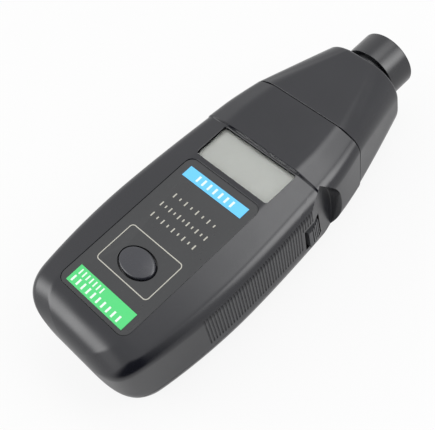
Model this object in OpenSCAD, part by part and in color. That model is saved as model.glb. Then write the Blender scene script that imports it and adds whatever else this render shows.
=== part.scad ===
// Hand-held laser tachometer with a two-shell case, a nose cap, a lens barrel and a sliding battery door.
// +Y runs to the lens barrel and +Z out of the display face. The origin lies under the middle of the part.

/* [Case] */
// Length of the case from its rear end to the nose seam
case_length = 116.2; // [113:0.2:120]
// Greatest width of the case
case_width = 62.4; // [61:0.2:66]
// Height of the display face above the back
case_depth = 36; // [35.5:0.5:40]
// Wall thickness of the case and nose mouldings
wall = 2.4; // [2.2:0.1:2.6]
// Height of the joint between the front and rear shells
parting_height = 11; // [10.5:0.5:12]
// How far the head stands above the display face
head_rise = 1.4; // [0.8:0.1:1.8]
// How far the shoulders fall beside the display face
shoulder_drop = 2.2; // [1.6:0.1:3]

/* [Nose and optics] */
// Length of the nose cap
nose_length = 30; // [29:0.5:33]
// Outer diameter of the lens barrel
barrel_diameter = 22.8; // [21.6:0.2:23]
// Length of the barrel in front of the nose
barrel_reach = 13.8; // [12:0.2:18]
// Depth of the barrel axis below the display face
barrel_drop = 13.2; // [13:0.2:14]
// Length of the narrow neck of the barrel in front of the nose
neck_length = 1.4; // [0.8:0.2:2]
// Thickness of the barrel tube
barrel_wall = 2.2; // [2:0.1:2.4]
// Thickness of the front lens
lens_thickness = 2; // [1.5:0.1:2.5]
// Diameter of the laser module
laser_diameter = 6; // [5:0.5:6.5]
// Diameter of the receiver bore
receiver_diameter = 7.2; // [6:0.2:7.6]

/* [Face] */
// Width of the label panel
panel_width = 35.2; // [34:0.2:36]
// Depth of the recess that holds the label panel
panel_recess = 0.7; // [0.5:0.1:0.9]
// Width of the display opening
window_width = 34.5; // [32:0.5:35]
// Length of the display opening
window_length = 14.5; // [13:0.5:15]
// Width of the two coloured labels
label_width = 28.7; // [24:0.1:30]
// Length of the large label at the rear
rear_label_length = 7.1; // [6:0.1:7.6]
// Length of the narrow label by the display
front_label_length = 4.6; // [4:0.1:5.2]

/* [Buttons] */
// Width of the oval button
button_width = 15; // [14:0.2:18]
// Length of the oval button
button_length = 10.2; // [10:0.2:12]
// Gap around the oval button
button_gap = 0.6; // [0.5:0.1:1]
// Travel of the oval button
button_travel = 0.9; // [0.6:0.1:1]
// Height of the side button
test_height = 8.6; // [8:0.2:9.4]
// Length of the side button along the case
test_length = 6.6; // [6:0.2:7.4]
// Gap around the side button
test_gap = 0.8; // [0.5:0.1:1]
// Gap above the side button
test_top_gap = 2; // [1:0.1:2.4]
// Travel of the side button
test_travel = 1; // [0.6:0.1:1.2]

/* [Grip] */
// Spacing of the grip ribs
rib_pitch = 1.3; // [1.2:0.1:2]
// Width of the groove between two ribs
rib_groove = 0.64; // [0.5:0.02:0.7]
// Height of the ribbed band
rib_height = 16; // [10:0.5:16]
// Depth of the finger scoop at its front
scoop_depth = 4.2; // [3:0.1:4.6]
// Slant of the floor of the finger scoop
scoop_slant = 23; // [18:1:25]

/* [Battery] */
// Length of the battery block without its studs
battery_length = 46.4; // [46:0.1:47]
// Width of the battery block
battery_width = 26.5; // [26:0.1:26.8]
// Thickness of the battery block
battery_depth = 17.5; // [16.5:0.1:17.8]
// Thickness of the battery door
door_thickness = 2; // [1.8:0.1:2.2]
// Width of the battery door without its rails
door_width = 34; // [33:0.5:35]

/* [Fits] */
// Gap between a moving piece and the mouldings beside it
moving_gap = 0.3; // [0.25:0.05:0.4]
// Gap between two pieces that are fitted by hand
fit_gap = 0.1; // [0.05:0.01:0.15]
// Gap between a screw and its hole
screw_gap = 0.15; // [0.12:0.01:0.2]

/* [Hidden] */
$fn = 48;
over = 1;

// Colours
shell_colour = "#3a3b3e";
trim_colour = "#222326";
print_colour = "#d8d2bf";
board_colour = "#2f6b45";
metal_colour = "#c2c4c8";
brass_colour = "#c6a04a";
clear_colour = "#cfdadf";
display_colour = "#b9bab2";
green_colour = "#3fcf6c";
blue_colour = "#49bff2";
strip_colour = "#d98f8f";
battery_colour = "#7d8288";
lead_colour = "#b03a34";

// Lengths along the part, measured from the rear end
total_length = case_length + nose_length + barrel_reach;
nose_front = case_length + nose_length;
end_round = 20;
end_drop = 13.2;
end_power = 4.8;
drop_power = 2.05;
first_station = 0.1;
widest_at = 0.429 * case_length;
window_at = case_length - 31.1;
panel_rear = 12.7;
panel_front = window_at - window_length / 2 - 2.15;
rear_label_at = panel_rear + 1.6;
front_label_at = panel_front - front_label_length - 3.1;
button_at = panel_rear + 21.3;
frame_at = button_at + 0.9;
step_rear = window_at + window_length / 2 + 0.4;
step_run = 0.7;
test_at = case_length - 29.3;
scoop_at = case_length - 15.1;
scoop_radius = 29;
scoop_height = parting_height + 5;
scoop_reach = 20;

// Heights above the back
middle_height = 23.4;
axis_height = case_depth - barrel_drop;
ceiling = case_depth - wall;
panel_floor = case_depth - panel_recess;
panel_top = panel_floor + 0.45;
label_top = panel_top + 0.15;
print_top = panel_top + 0.08;
test_sill = 1.2;
test_height_at = parting_height + test_sill + test_gap + test_height / 2;

// Corner roundings of the case section
side_draft = 2;
shoulder_round = 4.5;
back_round = 12.7;
face_round = 10;
face_half = 17;
panel_round = 3.5;
shoulder_growth = 1.5;
barrel_radius = barrel_diameter / 2;

// Narrowing of the case towards its rear end, towards the nose and just behind the seam
rear_narrowing = 3.8;
rear_narrowing_run = 40;
front_narrowing = 3.4;
front_narrowing_run = 55;
front_power = 1.6;
seam_narrowing = 0.048;
seam_power = 1.31;
seam_narrowing_at = case_length - 14.5;
back_lift = 1;
back_lift_run = 24.5;
full_half = 28;

// Front end of the nose
nose_end_half = 16.8;
nose_end_top = case_depth + 0.2;
nose_end_back = 5.5;
nose_end_drop = 2.2;
nose_end_shoulder = 11.2;
nose_end_heel = 14;
nose_round = 1.4;
nose_power = 1;
nose_back_power = 1.45;
least_flat = 0.8;
nose_shoulder_share = 1.1;

// Place of a length along the part in the shared frame
function along(s) = s - total_length / 2;

function mix(a, b, t) = a + (b - a) * t;
function unit(v) = v / norm(v);

// Points of a rounded corner at p between the lines to a and to b
function corner(a, p, b, radius, steps) =
    let (
        to_a = unit(a - p),
        to_b = unit(b - p),
        half = acos(to_a * to_b) / 2,
        centre = p + unit(to_a + to_b) * radius / sin(half),
        start = p + to_a * radius / tan(half) - centre,
        finish = p + to_b * radius / tan(half) - centre,
        first = atan2(start.y, start.x),
        turn = atan2(start.x * finish.y - start.y * finish.x, start * finish)
    )
    [for (i = [0:steps]) centre + radius * [cos(first + turn * i / steps), sin(first + turn * i / steps)]];

// Right half of a section from the middle of the face to the middle of the back
function half_section(w, face, top, drop, back, draft, shoulder, heel, steps) =
    let (edge = [w, top - drop], foot = [w - draft, back])
    concat(
        [[0, top]],
        corner([0, top], [face, top], edge, face_round * face / face_half, 2),
        corner([face, top], edge, foot, shoulder, steps),
        corner(edge, foot, [0, back], heel, steps),
        [[0, back]]
    );

// Closed section ring at length s from its right half
function ring(s, half) =
    concat(
        [for (p = half) [p.x, along(s), p.y]],
        [for (i = [len(half) - 2:-1:1]) [-half[i].x, along(s), half[i].y]]
    );

// Rounding factor that closes the rear end over a run of the given length
function end_factor(s, run, power) = s >= run ? 1 : pow(1 - pow((run - s) / run, power), 1 / power);

// Half width of the case at length s before the rear end closes
function open_half(s) =
    s < widest_at
        ? case_width / 2 - rear_narrowing * pow((widest_at - s) / rear_narrowing_run, 2)
        : case_width / 2 - front_narrowing * pow((s - widest_at) / front_narrowing_run, front_power)
            - seam_narrowing * pow(max(0, s - seam_narrowing_at), seam_power);

function case_half(s) = open_half(s) * end_factor(s, end_round, end_power);
function head_lift(s) = head_rise * max(0, min(1, (s - step_rear) / step_run));
function tail_factor(s) = end_factor(s, end_drop, drop_power);
function seam_lift(s) = back_lift * pow(max(0, s - case_length + back_lift_run) / back_lift_run, 2);
function case_back(s) = mix(middle_height, seam_lift(s), tail_factor(s));
function end_scale(s) = min(tail_factor(s), case_half(s) / full_half, 1);

// Section half of the case at length s, moved inwards by the inset
function case_section(s, inset, steps) =
    let (
        close = end_scale(max(first_station, s - inset)),
        w = case_half(max(first_station, s - inset)) - inset,
        top = mix(middle_height, case_depth - inset, tail_factor(max(first_station, s - inset))),
        back = case_back(max(first_station, s - inset)) + inset * tail_factor(max(first_station, s - inset))
    )
    half_section(
        w, face_half * close, top + head_lift(s), (shoulder_drop + head_lift(s)) * close, back,
        side_draft * close, (shoulder_round + shoulder_growth * s / case_length) * close,
        back_round * close, steps
    );

// How far the rounded front edge of the nose has come in at the length n from the seam
function nose_edge(n) =
    let (u = max(0, n - nose_length + nose_round)) nose_round - sqrt(nose_round * nose_round - u * u);

// Section half of the nose at the length n from the seam, moved inwards by the inset
function nose_section(n, inset, steps) =
    let (
        t = n / nose_length,
        in = inset + nose_edge(n),
        w = mix(case_half(case_length), nose_end_half, pow(t, nose_power)) - in,
        top = mix(case_depth + head_rise, nose_end_top, pow(t, nose_power)) - in,
        back = mix(case_back(case_length), nose_end_back, pow(t, nose_back_power)) + in,
        limit = min(w, (top - back) / 2) - least_flat,
        face = mix(face_half, nose_end_half / 3, t),
        room = nose_shoulder_share * (w - face),
        shoulder = min(limit, room, mix(shoulder_round + shoulder_growth, nose_end_shoulder, t)),
        heel = min(limit, mix(back_round, nose_end_heel, t))
    )
    half_section(
        w, face, top, mix(shoulder_drop + head_rise, nose_end_drop, t),
        back, side_draft * (1 - t), shoulder, heel, steps
    );

// Half width of the side wall at length s and height z
function wall_half(s, z) =
    let (edge = case_depth - shoulder_drop)
    case_half(s) - side_draft * (edge - z) / edge;

// Lengths at which the case is sampled, closer together at the rear end and at the head step
function case_stations(first, tail, middle, head) =
    concat(
        [for (i = [0:tail - 1]) first + (end_round - first) * pow(i / tail, 2)],
        [for (i = [0:middle - 1]) mix(end_round, step_rear, i / middle)],
        [for (i = [0:head]) i == 0 ? step_rear : mix(step_rear + step_run, case_length, (i - 1) / (head - 1))]
    );

// Solid skinned over a list of rings with equal point counts
module loft(rings) {
    n = len(rings[0]);
    last = len(rings) - 1;
    polyhedron(
        points = [for (r = rings) each r],
        faces = concat(
            [[for (i = [0:n - 1]) i]],
            [for (k = [0:last - 1], i = [0:n - 1])
                [k * n + i, (k + 1) * n + i, k * n + (i + 1) % n]],
            [for (k = [0:last - 1], i = [0:n - 1])
                [k * n + (i + 1) % n, (k + 1) * n + i, (k + 1) * n + (i + 1) % n]],
            [[for (i = [0:n - 1]) last * n + n - 1 - i]]
        )
    );
}

module case_outer() {
    loft([for (s = case_stations(first_station, 9, 14, 5)) ring(s, case_section(s, 0, 5))]);
}

module case_inner() {
    inner = case_stations(wall + first_station, 6, 7, 4);
    beyond = ring(case_length + over, case_section(case_length, wall, 3));
    loft(concat([for (s = inner) ring(s, case_section(s, wall, 3))], [beyond]));
}

// Lengths from the seam at which the nose is sampled, closer together at its rounded front edge
function nose_stations(last, body, edge) =
    concat(
        [for (i = [0:body - 1]) (last - nose_round) * i / body],
        [for (i = [0:edge]) last - nose_round + nose_round * sin(90 * i / edge)]
    );

module nose_outer() {
    loft([for (n = nose_stations(nose_length, 7, 5)) ring(case_length + n, nose_section(n, 0, 5))]);
}

module nose_inner() {
    before = ring(case_length - over, nose_section(0, wall, 3));
    inner = nose_stations(nose_length - wall, 5, 2);
    loft(concat([before], [for (n = inner) ring(case_length + n, nose_section(n, wall, 3))]));
}

// Upright block centred on a length along the part
module block(width, length, bottom, top, s = 0, x = 0) {
    translate([x - width / 2, along(s) - length / 2, bottom]) cube([width, length, top - bottom]);
}

// Upright block with rounded corners
module rounded_block(width, length, bottom, top, radius, s = 0, x = 0) {
    translate([x, along(s), bottom]) linear_extrude(top - bottom) rounded_outline(width, length, radius);
}

// Outline of a rounded rectangle made of straight sides and true corner arcs
module rounded_outline(width, length, radius) {
    square([width - 2 * radius, length], center = true);
    square([width, length - 2 * radius], center = true);
    for (i = [-1, 1], j = [-1, 1])
        translate([i * (width / 2 - radius), j * (length / 2 - radius)]) circle(radius);
}

// Upright prism with an oval outline
module oval(width, length, bottom, top, s) {
    outline = [for (i = [0:47]) [cos(i * 7.5) * width / 2, sin(i * 7.5) * length / 2]];
    translate([0, along(s), bottom]) linear_extrude(top - bottom) polygon(outline);
}

// Cylinder along the part with its centre line at the given place
module lengthways(radius, from, to, x = 0, z = axis_height) {
    translate([x, along(from), z]) rotate([-90, 0, 0]) cylinder(r = radius, h = to - from);
}

// Upright cylinder at a length along the part
module upright(radius, bottom, top, x, s) {
    translate([x, along(s), bottom]) cylinder(r = radius, h = top - bottom);
}

// Cylinder across the part from x = from to x = to
module crossways(radius, from, to, s, z) {
    translate([from, along(s), z]) rotate([0, 90, 0]) cylinder(r = radius, h = to - from);
}

// Screws that hold the two shells together
rear_screw_x = case_width / 2 - 10.2;
front_screw_x = case_width / 2 - 12.7;
rear_screw_at = 20.7;
front_screw_at = case_length - 9.5;
case_screw_places = [
    [-rear_screw_x, rear_screw_at], [rear_screw_x, rear_screw_at],
    [-front_screw_x, front_screw_at], [front_screw_x, front_screw_at]
];
case_boss_radius = 3.4;
case_screw_radius = 1.2;
case_head_radius = 2.4;
case_head_bottom = 4.6;
case_head_top = 6.4;
case_screw_tip = 21;
screw_cross = [3, 0.6, 1.6];

// Battery room in the rear shell
room_ceiling = door_thickness + 0.7 + battery_depth;
room_wall = 1.6;
room_half = battery_width / 2 + 0.3;
room_rear = 15.2;
room_front = room_rear + battery_length + 10;
room_length = room_front - room_rear;
room_middle = (room_front + room_rear) / 2;

// Circuit board, its screws and what is soldered to it
board_thickness = 1.6;
board_bottom = ceiling - 7.6;
board_top = board_bottom + board_thickness;
board_width = 39;
board_rear = 26.7;
board_front = case_length - 14.5;
board_boss_radius = 2.6;
board_screw_radius = 1;
board_head_radius = 1.9;
board_head_height = 1.4;
board_screw_length = 5.6;
board_screw_x = room_half + room_wall + board_head_radius + 0.05;
board_screw_places = [
    [-board_screw_x, board_rear + 4], [board_screw_x, board_rear + 4],
    [-board_screw_x, board_front - 3], [board_screw_x, board_front - 3]
];
chip_at = mix(board_rear, board_front, 0.44);
chip_side = 12;
chip_height = 1.6;
crystal_width = 4.6;
crystal_length = 11;
crystal_height = 3.4;
crystal_round = 2.2;
crystal_x = 13;

// Display stack
window_thickness = 1.2;
window_lip = 2;
window_round = 1.2;
pocket_gap = 0.2;
pocket_round = 0.6;
plate_width = window_width + 2 * window_lip;
plate_length = window_length + 2 * window_lip;
window_bottom = ceiling + 0.1;
lcd_bottom = window_bottom - 2.1;
holder_wall = 1.3;
holder_top = ceiling - 1.3;
holder_ledge = 1;
strip_width = 2;

// Oval button and its switch
flange_reach = 1.2;
flange_thickness = 1.4;
flange_top = ceiling - 0.4;
flange_bottom = flange_top - flange_thickness;
button_crown = 0.9;
button_dome = 46;
hole_width = button_width + 2 * button_gap;
hole_length = button_length + 2 * button_gap;
switch_side = 6;
switch_top = flange_bottom - button_travel - 0.3;
switch_floor = 0.5;
plunger_radius = 1.7;
plunger_bottom = switch_top - 1.4;

// Side button, its switch and the small board that carries the switch
test_face = case_half(test_at);
test_flange_out = wall_half(test_at, test_height_at) - wall - 4;
test_flange_in = test_flange_out - flange_thickness;
test_switch_out = test_flange_in - test_travel - 0.3;
test_switch_in = test_switch_out - 3;
switch_board_in = test_switch_in - board_thickness;
switch_board_length = test_length + 5;
switch_board_bottom = test_height_at - switch_side;
test_plunger_in = test_switch_out - 1.6;
test_plunger_floor = 0.3;
test_bottom = test_height_at - test_height / 2;
test_top = test_height_at + test_height / 2;
test_rib_depth = 0.5;
test_rib_width = 0.45;
test_rib_pitch = 1.26;

// Battery, its snap and its leads
battery_rear = room_rear + 0.5;
battery_front = battery_rear + battery_length;
battery_bottom = room_ceiling - battery_depth;
stud_offset = 6.35;
stud_height = battery_bottom + battery_depth / 2;
stud_reach = 2;
round_stud = 2.9;
flared_stud = 4;
snap_thickness = 3.6;
snap_width = battery_width - 1;
snap_half_height = 6;
lead_height = room_ceiling - 6;
lead_spacing = 3.2;
lead_radius = 0.8;
lead_rise_at = room_front + room_wall + 4;
lead_hole_width = 2 * lead_spacing + 4;
lead_hole_height = 4;

// Battery door and its rails
door_rear = 10.7;
door_front = room_front - 2;
door_lift = 0.15;
rail_reach = 1.2;
rail_bottom = 1.1;
rail_start = 5;
door_lip = [[0, 1.4], [2, 0.5], [5, door_lift]];
door_top = door_lift + door_thickness;
grip_line_width = 0.9;
grip_line_pitch = 2;
grip_line_depth = 0.5;
grip_line_count = 5;
grip_lines_at = door_rear + 9;

// Optics in the barrel
barrel_rear = nose_front - 9.5;
barrel_flange = 0.5;
barrel_flange_length = 1.5;
barrel_bore = barrel_radius - barrel_wall;
barrel_lip = 0.9;
neck_depth = 1.2;
lens_front = total_length - 1.4;
lens_rear = lens_front - lens_thickness;
holder_rear = nose_front - 22;
laser_height = axis_height + 5;
laser_front = lens_rear - 1.5;
receiver_height = axis_height - 4.2;
receiver_front = lens_rear - 1;
receiver_thickness = 3;
sensor_radius = receiver_diameter / 2 - 0.8;
sensor_length = 5;
sensor_board_rear = holder_rear - board_thickness;

// Flat cable between the two boards
ribbon_width = 8;
ribbon_thickness = 0.3;
ribbon_height = axis_height - 6;
ribbon_rear = board_front - 5;
ribbon_bend = case_length - 3;

// Print on the label panel
print_line = 0.35;
frame_width = 26;
frame_length = 17.2;
frame_round = 1.6;
frame_front = frame_at + frame_length / 2;
mark_width = 0.5;
long_mark = 1.9;
short_mark = 1.1;
mark_rows = [[0.28, 9, 2.6], [0.48, 11, 2.2], [0.69, 8, 2.8]];

// Grip ribs and the tabs of the nose cap
rib_first = 34.7;
rib_last = test_at - test_length / 2 - 3;
rib_top = case_depth - 6;
tab_thickness = 1.2;
tab_reach = 4;

module screw_holes(bottom, top, head_top) {
    for (p = case_screw_places) {
        upright(case_screw_radius + screw_gap, bottom, top, p.x, p.y, $fn = 24);
        upright(case_head_radius + 2 * screw_gap, -over, head_top, p.x, p.y, $fn = 24);
    }
}

// Grooves of one ribbed side; the hand is 1 for the right side and -1 for the left
module grip_grooves(hand) {
    count = floor((rib_last - rib_first) / rib_pitch);
    for (i = [0:count]) {
        s = rib_first + i * rib_pitch;
        hull() for (z = [rib_top - rib_height, rib_top])
            translate([hand * wall_half(s, z), along(s), z]) cylinder(r = rib_groove / 2, h = 0.02, $fn = 8);
    }
}

// Round-ended hollow for the finger, with a slanted floor; more cuts it deeper and grow makes it wider
module finger_scoop(more, grow) {
    floor_x = wall_half(scoop_at, scoop_height) - scoop_depth;
    translate([floor_x, along(scoop_at), scoop_height]) rotate([0, 90, scoop_slant])
        translate([0, -scoop_radius, -more])
            cylinder(r = scoop_radius + grow, h = scoop_reach, $fn = 64);
}

module front_case() {
    color(shell_colour) difference() {
        union() {
            difference() {
                case_outer();
                case_inner();
            }
            intersection() {
                case_outer();
                union() {
                    for (p = case_screw_places)
                        upright(case_boss_radius, 0, ceiling, p.x, p.y, $fn = 24);
                    for (p = board_screw_places)
                        upright(board_boss_radius, board_top, case_depth, p.x, p.y, $fn = 24);
                    finger_scoop(wall, wall);
                }
            }
        }
        translate([-case_width, along(-over), -over])
            cube([2 * case_width, total_length, parting_height + over]);
        screw_holes(-over, case_screw_tip + over, 0);
        for (p = board_screw_places)
            upright(board_screw_radius + screw_gap, board_top - over, ceiling, p.x, p.y, $fn = 20);
        face_recess(panel_floor, case_depth + over, 0);
        oval(hole_width, hole_length, ceiling - over, case_depth, button_at);
        rounded_block(window_width, window_length, ceiling - over, case_depth + over, window_round,
            window_at, $fn = 32);
        rounded_block(plate_width + 2 * pocket_gap, plate_length + 2 * pocket_gap,
            ceiling - over, window_bottom + window_thickness, pocket_round, window_at, $fn = 32);
        block(case_width, test_length + 2 * test_gap, test_bottom - test_gap, test_top + test_top_gap,
            test_at, case_width / 2 + test_flange_out + moving_gap);
        grip_grooves(1);
        grip_grooves(-1);
        finger_scoop(0, 0);
    }
}

// Recess of the label panel, or the panel itself when made smaller by the gap
module face_recess(bottom, top, gap) {
    rounded_block(panel_width - 2 * gap, panel_front - panel_rear - 2 * gap, bottom, top, panel_round,
        (panel_rear + panel_front) / 2);
}

// Outside of the battery room from the given height up to its roof
module room_block(bottom) {
    block(2 * (room_half + room_wall), room_length + 2 * room_wall, bottom, room_ceiling + room_wall,
        room_middle);
}

module rear_case() {
    color(shell_colour) difference() {
        union() {
            difference() {
                case_outer();
                case_inner();
            }
            intersection() {
                case_outer();
                union() {
                    for (p = case_screw_places)
                        upright(case_boss_radius, 0, parting_height + over, p.x, p.y, $fn = 24);
                    finger_scoop(wall, wall);
                }
            }
            room_block(wall / 2);
        }
        difference() {
            translate([-case_width, along(-over), parting_height])
                cube([2 * case_width, total_length, case_depth]);
            room_block(0);
        }
        block(2 * room_half, room_length, -over, room_ceiling, room_middle);
        door_slot();
        block(lead_hole_width, 3 * room_wall, lead_height - lead_hole_height / 2,
            lead_height + lead_hole_height / 2, room_front + room_wall / 2);
        screw_holes(-over, parting_height + over, case_head_top);
        finger_scoop(0, 0);
    }
}

// Space that the battery door and its rails slide through
module door_slot() {
    run = door_front + moving_gap + over;
    translate([-door_width / 2 - moving_gap, along(-over), -over])
        cube([door_width + 2 * moving_gap, run, door_top + moving_gap + over]);
    translate([-door_width / 2 - rail_reach - moving_gap, along(-over), rail_bottom - moving_gap])
        cube([door_width + 2 * (rail_reach + moving_gap), run, door_top - rail_bottom + 2 * moving_gap]);
}

module battery_door() {
    outline = concat(
        [for (p = door_lip) [-along(door_rear + p.x), p.y]],
        [[-along(door_front), door_lift], [-along(door_front), door_top], [-along(door_rear), door_top]]
    );
    rail_length = door_front - door_rear - rail_start - over;
    color(shell_colour) difference() {
        union() {
            translate([door_width / 2, 0, 0]) rotate([90, 0, -90]) linear_extrude(door_width)
                polygon(outline);
            for (side = [-1, 1])
                block(2 * rail_reach, rail_length, rail_bottom, door_top,
                    door_rear + rail_start + rail_length / 2, side * door_width / 2);
        }
        for (i = [0:grip_line_count - 1])
            block(door_width / 2, grip_line_width, -over, door_lift + grip_line_depth,
                grip_lines_at + i * grip_line_pitch);
    }
}

module nose_cap() {
    color(shell_colour) difference() {
        union() {
            difference() {
                nose_outer();
                nose_inner();
            }
            nose_tabs();
        }
        lengthways(barrel_radius + fit_gap, barrel_rear - fit_gap, nose_front + over, $fn = 96);
        lengthways(barrel_radius + barrel_flange + fit_gap, barrel_rear - fit_gap,
            barrel_rear + barrel_flange_length + fit_gap, $fn = 96);
    }
}

// Tabs that reach back from the nose cap and lie inside the walls of the two shells
module nose_tabs() {
    inside = case_section(case_length, wall + tab_thickness, 3);
    joined = nose_section(0, wall / 2, 3);
    for (hand = [-1, 1], i = [2, 6, len(inside) - 2]) {
        tab = [hand * inside[i].x, inside[i].y];
        root = [hand * joined[i].x, joined[i].y];
        hull() for (s = [case_length - tab_reach, case_length + tab_reach]) tab_corner(tab, s);
        hull() for (place = [tab, root]) tab_corner(place, case_length + tab_reach);
    }
}

module tab_corner(place, s) {
    translate([place.x, along(s), place.y]) cube(tab_thickness, center = true);
}

module lens_barrel() {
    color(trim_colour) difference() {
        union() {
            lengthways(barrel_radius, barrel_rear, total_length);
            lengthways(barrel_radius + barrel_flange, barrel_rear, barrel_rear + barrel_flange_length);
        }
        lengthways(barrel_bore, barrel_rear - over, lens_front);
        lengthways(barrel_bore - barrel_lip, barrel_rear, total_length + over);
        difference() {
            lengthways(barrel_radius + over, nose_front, nose_front + neck_length);
            lengthways(barrel_radius - neck_depth, nose_front - over, nose_front + neck_length + over);
        }
    }
}

module front_lens() {
    color(clear_colour) lengthways(barrel_bore - fit_gap, lens_rear, lens_front);
}

module optics_holder() {
    color(trim_colour) difference() {
        lengthways(barrel_bore - fit_gap, holder_rear, lens_rear);
        lengthways(laser_diameter / 2 + fit_gap, holder_rear - over, lens_rear + over, 0, laser_height);
        lengthways(receiver_diameter / 2, holder_rear - over, lens_rear + over, 0, receiver_height);
    }
}

module laser_module() {
    color(brass_colour) lengthways(laser_diameter / 2, holder_rear, laser_front, 0, laser_height);
}

module receiver_lens() {
    color(clear_colour) intersection() {
        lengthways((receiver_diameter - fit_gap) / 2, receiver_front - receiver_thickness, receiver_front,
            0, receiver_height);
        translate([0, along(receiver_front - 0.2 - receiver_diameter), receiver_height])
            sphere(receiver_diameter);
    }
}

module photo_sensor() {
    color(metal_colour)
        lengthways(sensor_radius, holder_rear, holder_rear + sensor_length, 0, receiver_height);
}

module sensor_board() {
    color(board_colour) lengthways(barrel_bore, sensor_board_rear, holder_rear);
}

// Flat cable from the circuit board to the sensor board
module sensor_ribbon() {
    top = [
        [along(ribbon_rear), board_bottom], [along(board_front) + ribbon_thickness, board_bottom],
        [along(ribbon_bend), ribbon_height], [along(sensor_board_rear), ribbon_height]
    ];
    bottom = [
        [along(sensor_board_rear), ribbon_height - ribbon_thickness],
        [along(ribbon_bend), ribbon_height - ribbon_thickness],
        [along(board_front), board_bottom - ribbon_thickness],
        [along(ribbon_rear), board_bottom - ribbon_thickness]
    ];
    color(print_colour) translate([-ribbon_width / 2, 0, 0]) rotate([90, 0, 90])
        linear_extrude(ribbon_width) polygon(concat(top, bottom));
}

module face_panel() {
    color(trim_colour) difference() {
        face_recess(panel_floor, panel_top, fit_gap);
        oval(hole_width, hole_length, panel_floor - over, panel_top + over, button_at);
    }
}

// Pale frame around the oval button and plain rows of scale marks
module face_print() {
    color(print_colour) {
        difference() {
            rounded_block(frame_width, frame_length, panel_top, print_top, frame_round, frame_at);
            rounded_block(frame_width - 2 * print_line, frame_length - 2 * print_line, panel_top - over,
                print_top + over, frame_round - print_line, frame_at);
        }
        for (row = mark_rows, i = [0:row.y - 1])
            block(mark_width, i % 2 == 0 ? long_mark : short_mark, panel_top, print_top,
                mix(frame_front, front_label_at, row.x), (i - (row.y - 1) / 2) * row.z);
    }
}

module green_label() {
    color(green_colour) block(label_width, rear_label_length, panel_top, label_top,
        rear_label_at + rear_label_length / 2);
}

module blue_label() {
    color(blue_colour) block(label_width, front_label_length, panel_top, label_top,
        front_label_at + front_label_length / 2);
}

module display_window() {
    color(clear_colour) rounded_block(plate_width, plate_length, window_bottom,
        window_bottom + window_thickness, window_round - pocket_gap, window_at);
}

module lcd_glass() {
    color(display_colour) block(plate_width, plate_length, lcd_bottom, window_bottom, window_at);
}

module lcd_holder() {
    inner_width = plate_width + 2 * fit_gap;
    inner_length = plate_length + 2 * fit_gap;
    color(trim_colour) difference() {
        block(inner_width + 2 * holder_wall, inner_length + 2 * holder_wall, board_top, holder_top,
            window_at);
        block(inner_width, inner_length, lcd_bottom, ceiling + over, window_at);
        block(inner_width - 2 * holder_ledge, inner_length - 2 * holder_ledge, board_top - over,
            ceiling + over, window_at);
    }
}

// Conductive rubber strips between the circuit board and the display glass
module contact_strips() {
    color(strip_colour) for (side = [-1, 1])
        block(window_width - strip_width, strip_width, board_top, lcd_bottom,
            window_at + side * (window_length / 2 - 0.3 * strip_width));
}

module main_board() {
    color(board_colour) difference() {
        block(board_width, board_front - board_rear, board_bottom, board_top,
            (board_front + board_rear) / 2);
        for (p = board_screw_places)
            upright(board_screw_radius + screw_gap, board_bottom - over, board_top + over, p.x, p.y);
    }
}

module controller_chip() {
    color(trim_colour) block(chip_side, chip_side, board_top, board_top + chip_height, chip_at);
}

module quartz_crystal() {
    color(metal_colour) rounded_block(crystal_width, crystal_length, board_top, board_top + crystal_height,
        crystal_round, chip_at, crystal_x);
}

module board_screws() {
    color(metal_colour) for (p = board_screw_places) {
        upright(board_screw_radius, board_bottom - 0.1, board_bottom + board_screw_length, p.x, p.y);
        upright(board_head_radius, board_bottom - board_head_height, board_bottom, p.x, p.y);
    }
}

module memory_button() {
    crown = case_depth + button_crown;
    color(trim_colour) {
        oval(hole_width + 2 * flange_reach, hole_length + 2 * flange_reach, flange_bottom, flange_top,
            button_at);
        intersection() {
            oval(button_width, button_length, flange_top, crown, button_at);
            translate([0, along(button_at), crown - button_dome]) sphere(button_dome, $fn = 96);
        }
    }
}

module memory_switch() {
    color(trim_colour) difference() {
        block(switch_side, switch_side, board_top, switch_top, button_at);
        upright(plunger_radius + fit_gap, board_top + switch_floor, switch_top + over, 0, button_at);
    }
}

module memory_plunger() {
    color(print_colour) upright(plunger_radius, plunger_bottom, flange_bottom, 0, button_at);
}

module test_button() {
    flange_length = test_length + 2 * (test_gap + flange_reach);
    color(trim_colour) difference() {
        union() {
            block(test_face - test_flange_in, test_length, test_bottom, test_top, test_at,
                (test_face + test_flange_in) / 2);
            block(flange_thickness, flange_length, test_bottom - test_gap - flange_reach,
                test_top + test_top_gap + flange_reach, test_at, (test_flange_out + test_flange_in) / 2);
        }
        slanted_face(0);
        for (i = [-2:2]) intersection() {
            slanted_face(-test_rib_depth);
            block(scoop_reach, test_rib_width, 0, case_depth, test_at + i * test_rib_pitch, test_face);
        }
    }
}

// Space outside a plane that lies parallel to the floor of the finger scoop and the given distance above it
module slanted_face(above) {
    floor_x = wall_half(scoop_at, scoop_height) - scoop_depth;
    translate([floor_x, along(scoop_at), 0]) rotate(scoop_slant) translate([above, -case_depth, 0])
        cube([scoop_reach, 2 * case_depth, case_depth]);
}

module switch_board() {
    color(board_colour) block(board_thickness, switch_board_length, switch_board_bottom, board_bottom,
        test_at, switch_board_in + board_thickness / 2);
}

module test_switch() {
    color(trim_colour) difference() {
        block(test_switch_out - test_switch_in, switch_side, test_height_at - switch_side / 2,
            test_height_at + switch_side / 2, test_at, (test_switch_out + test_switch_in) / 2);
        crossways(plunger_radius + fit_gap, test_switch_in + test_plunger_floor, test_switch_out + over,
            test_at, test_height_at);
    }
}

module test_plunger() {
    color(print_colour)
        crossways(plunger_radius, test_plunger_in, test_flange_in, test_at, test_height_at);
}

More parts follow.
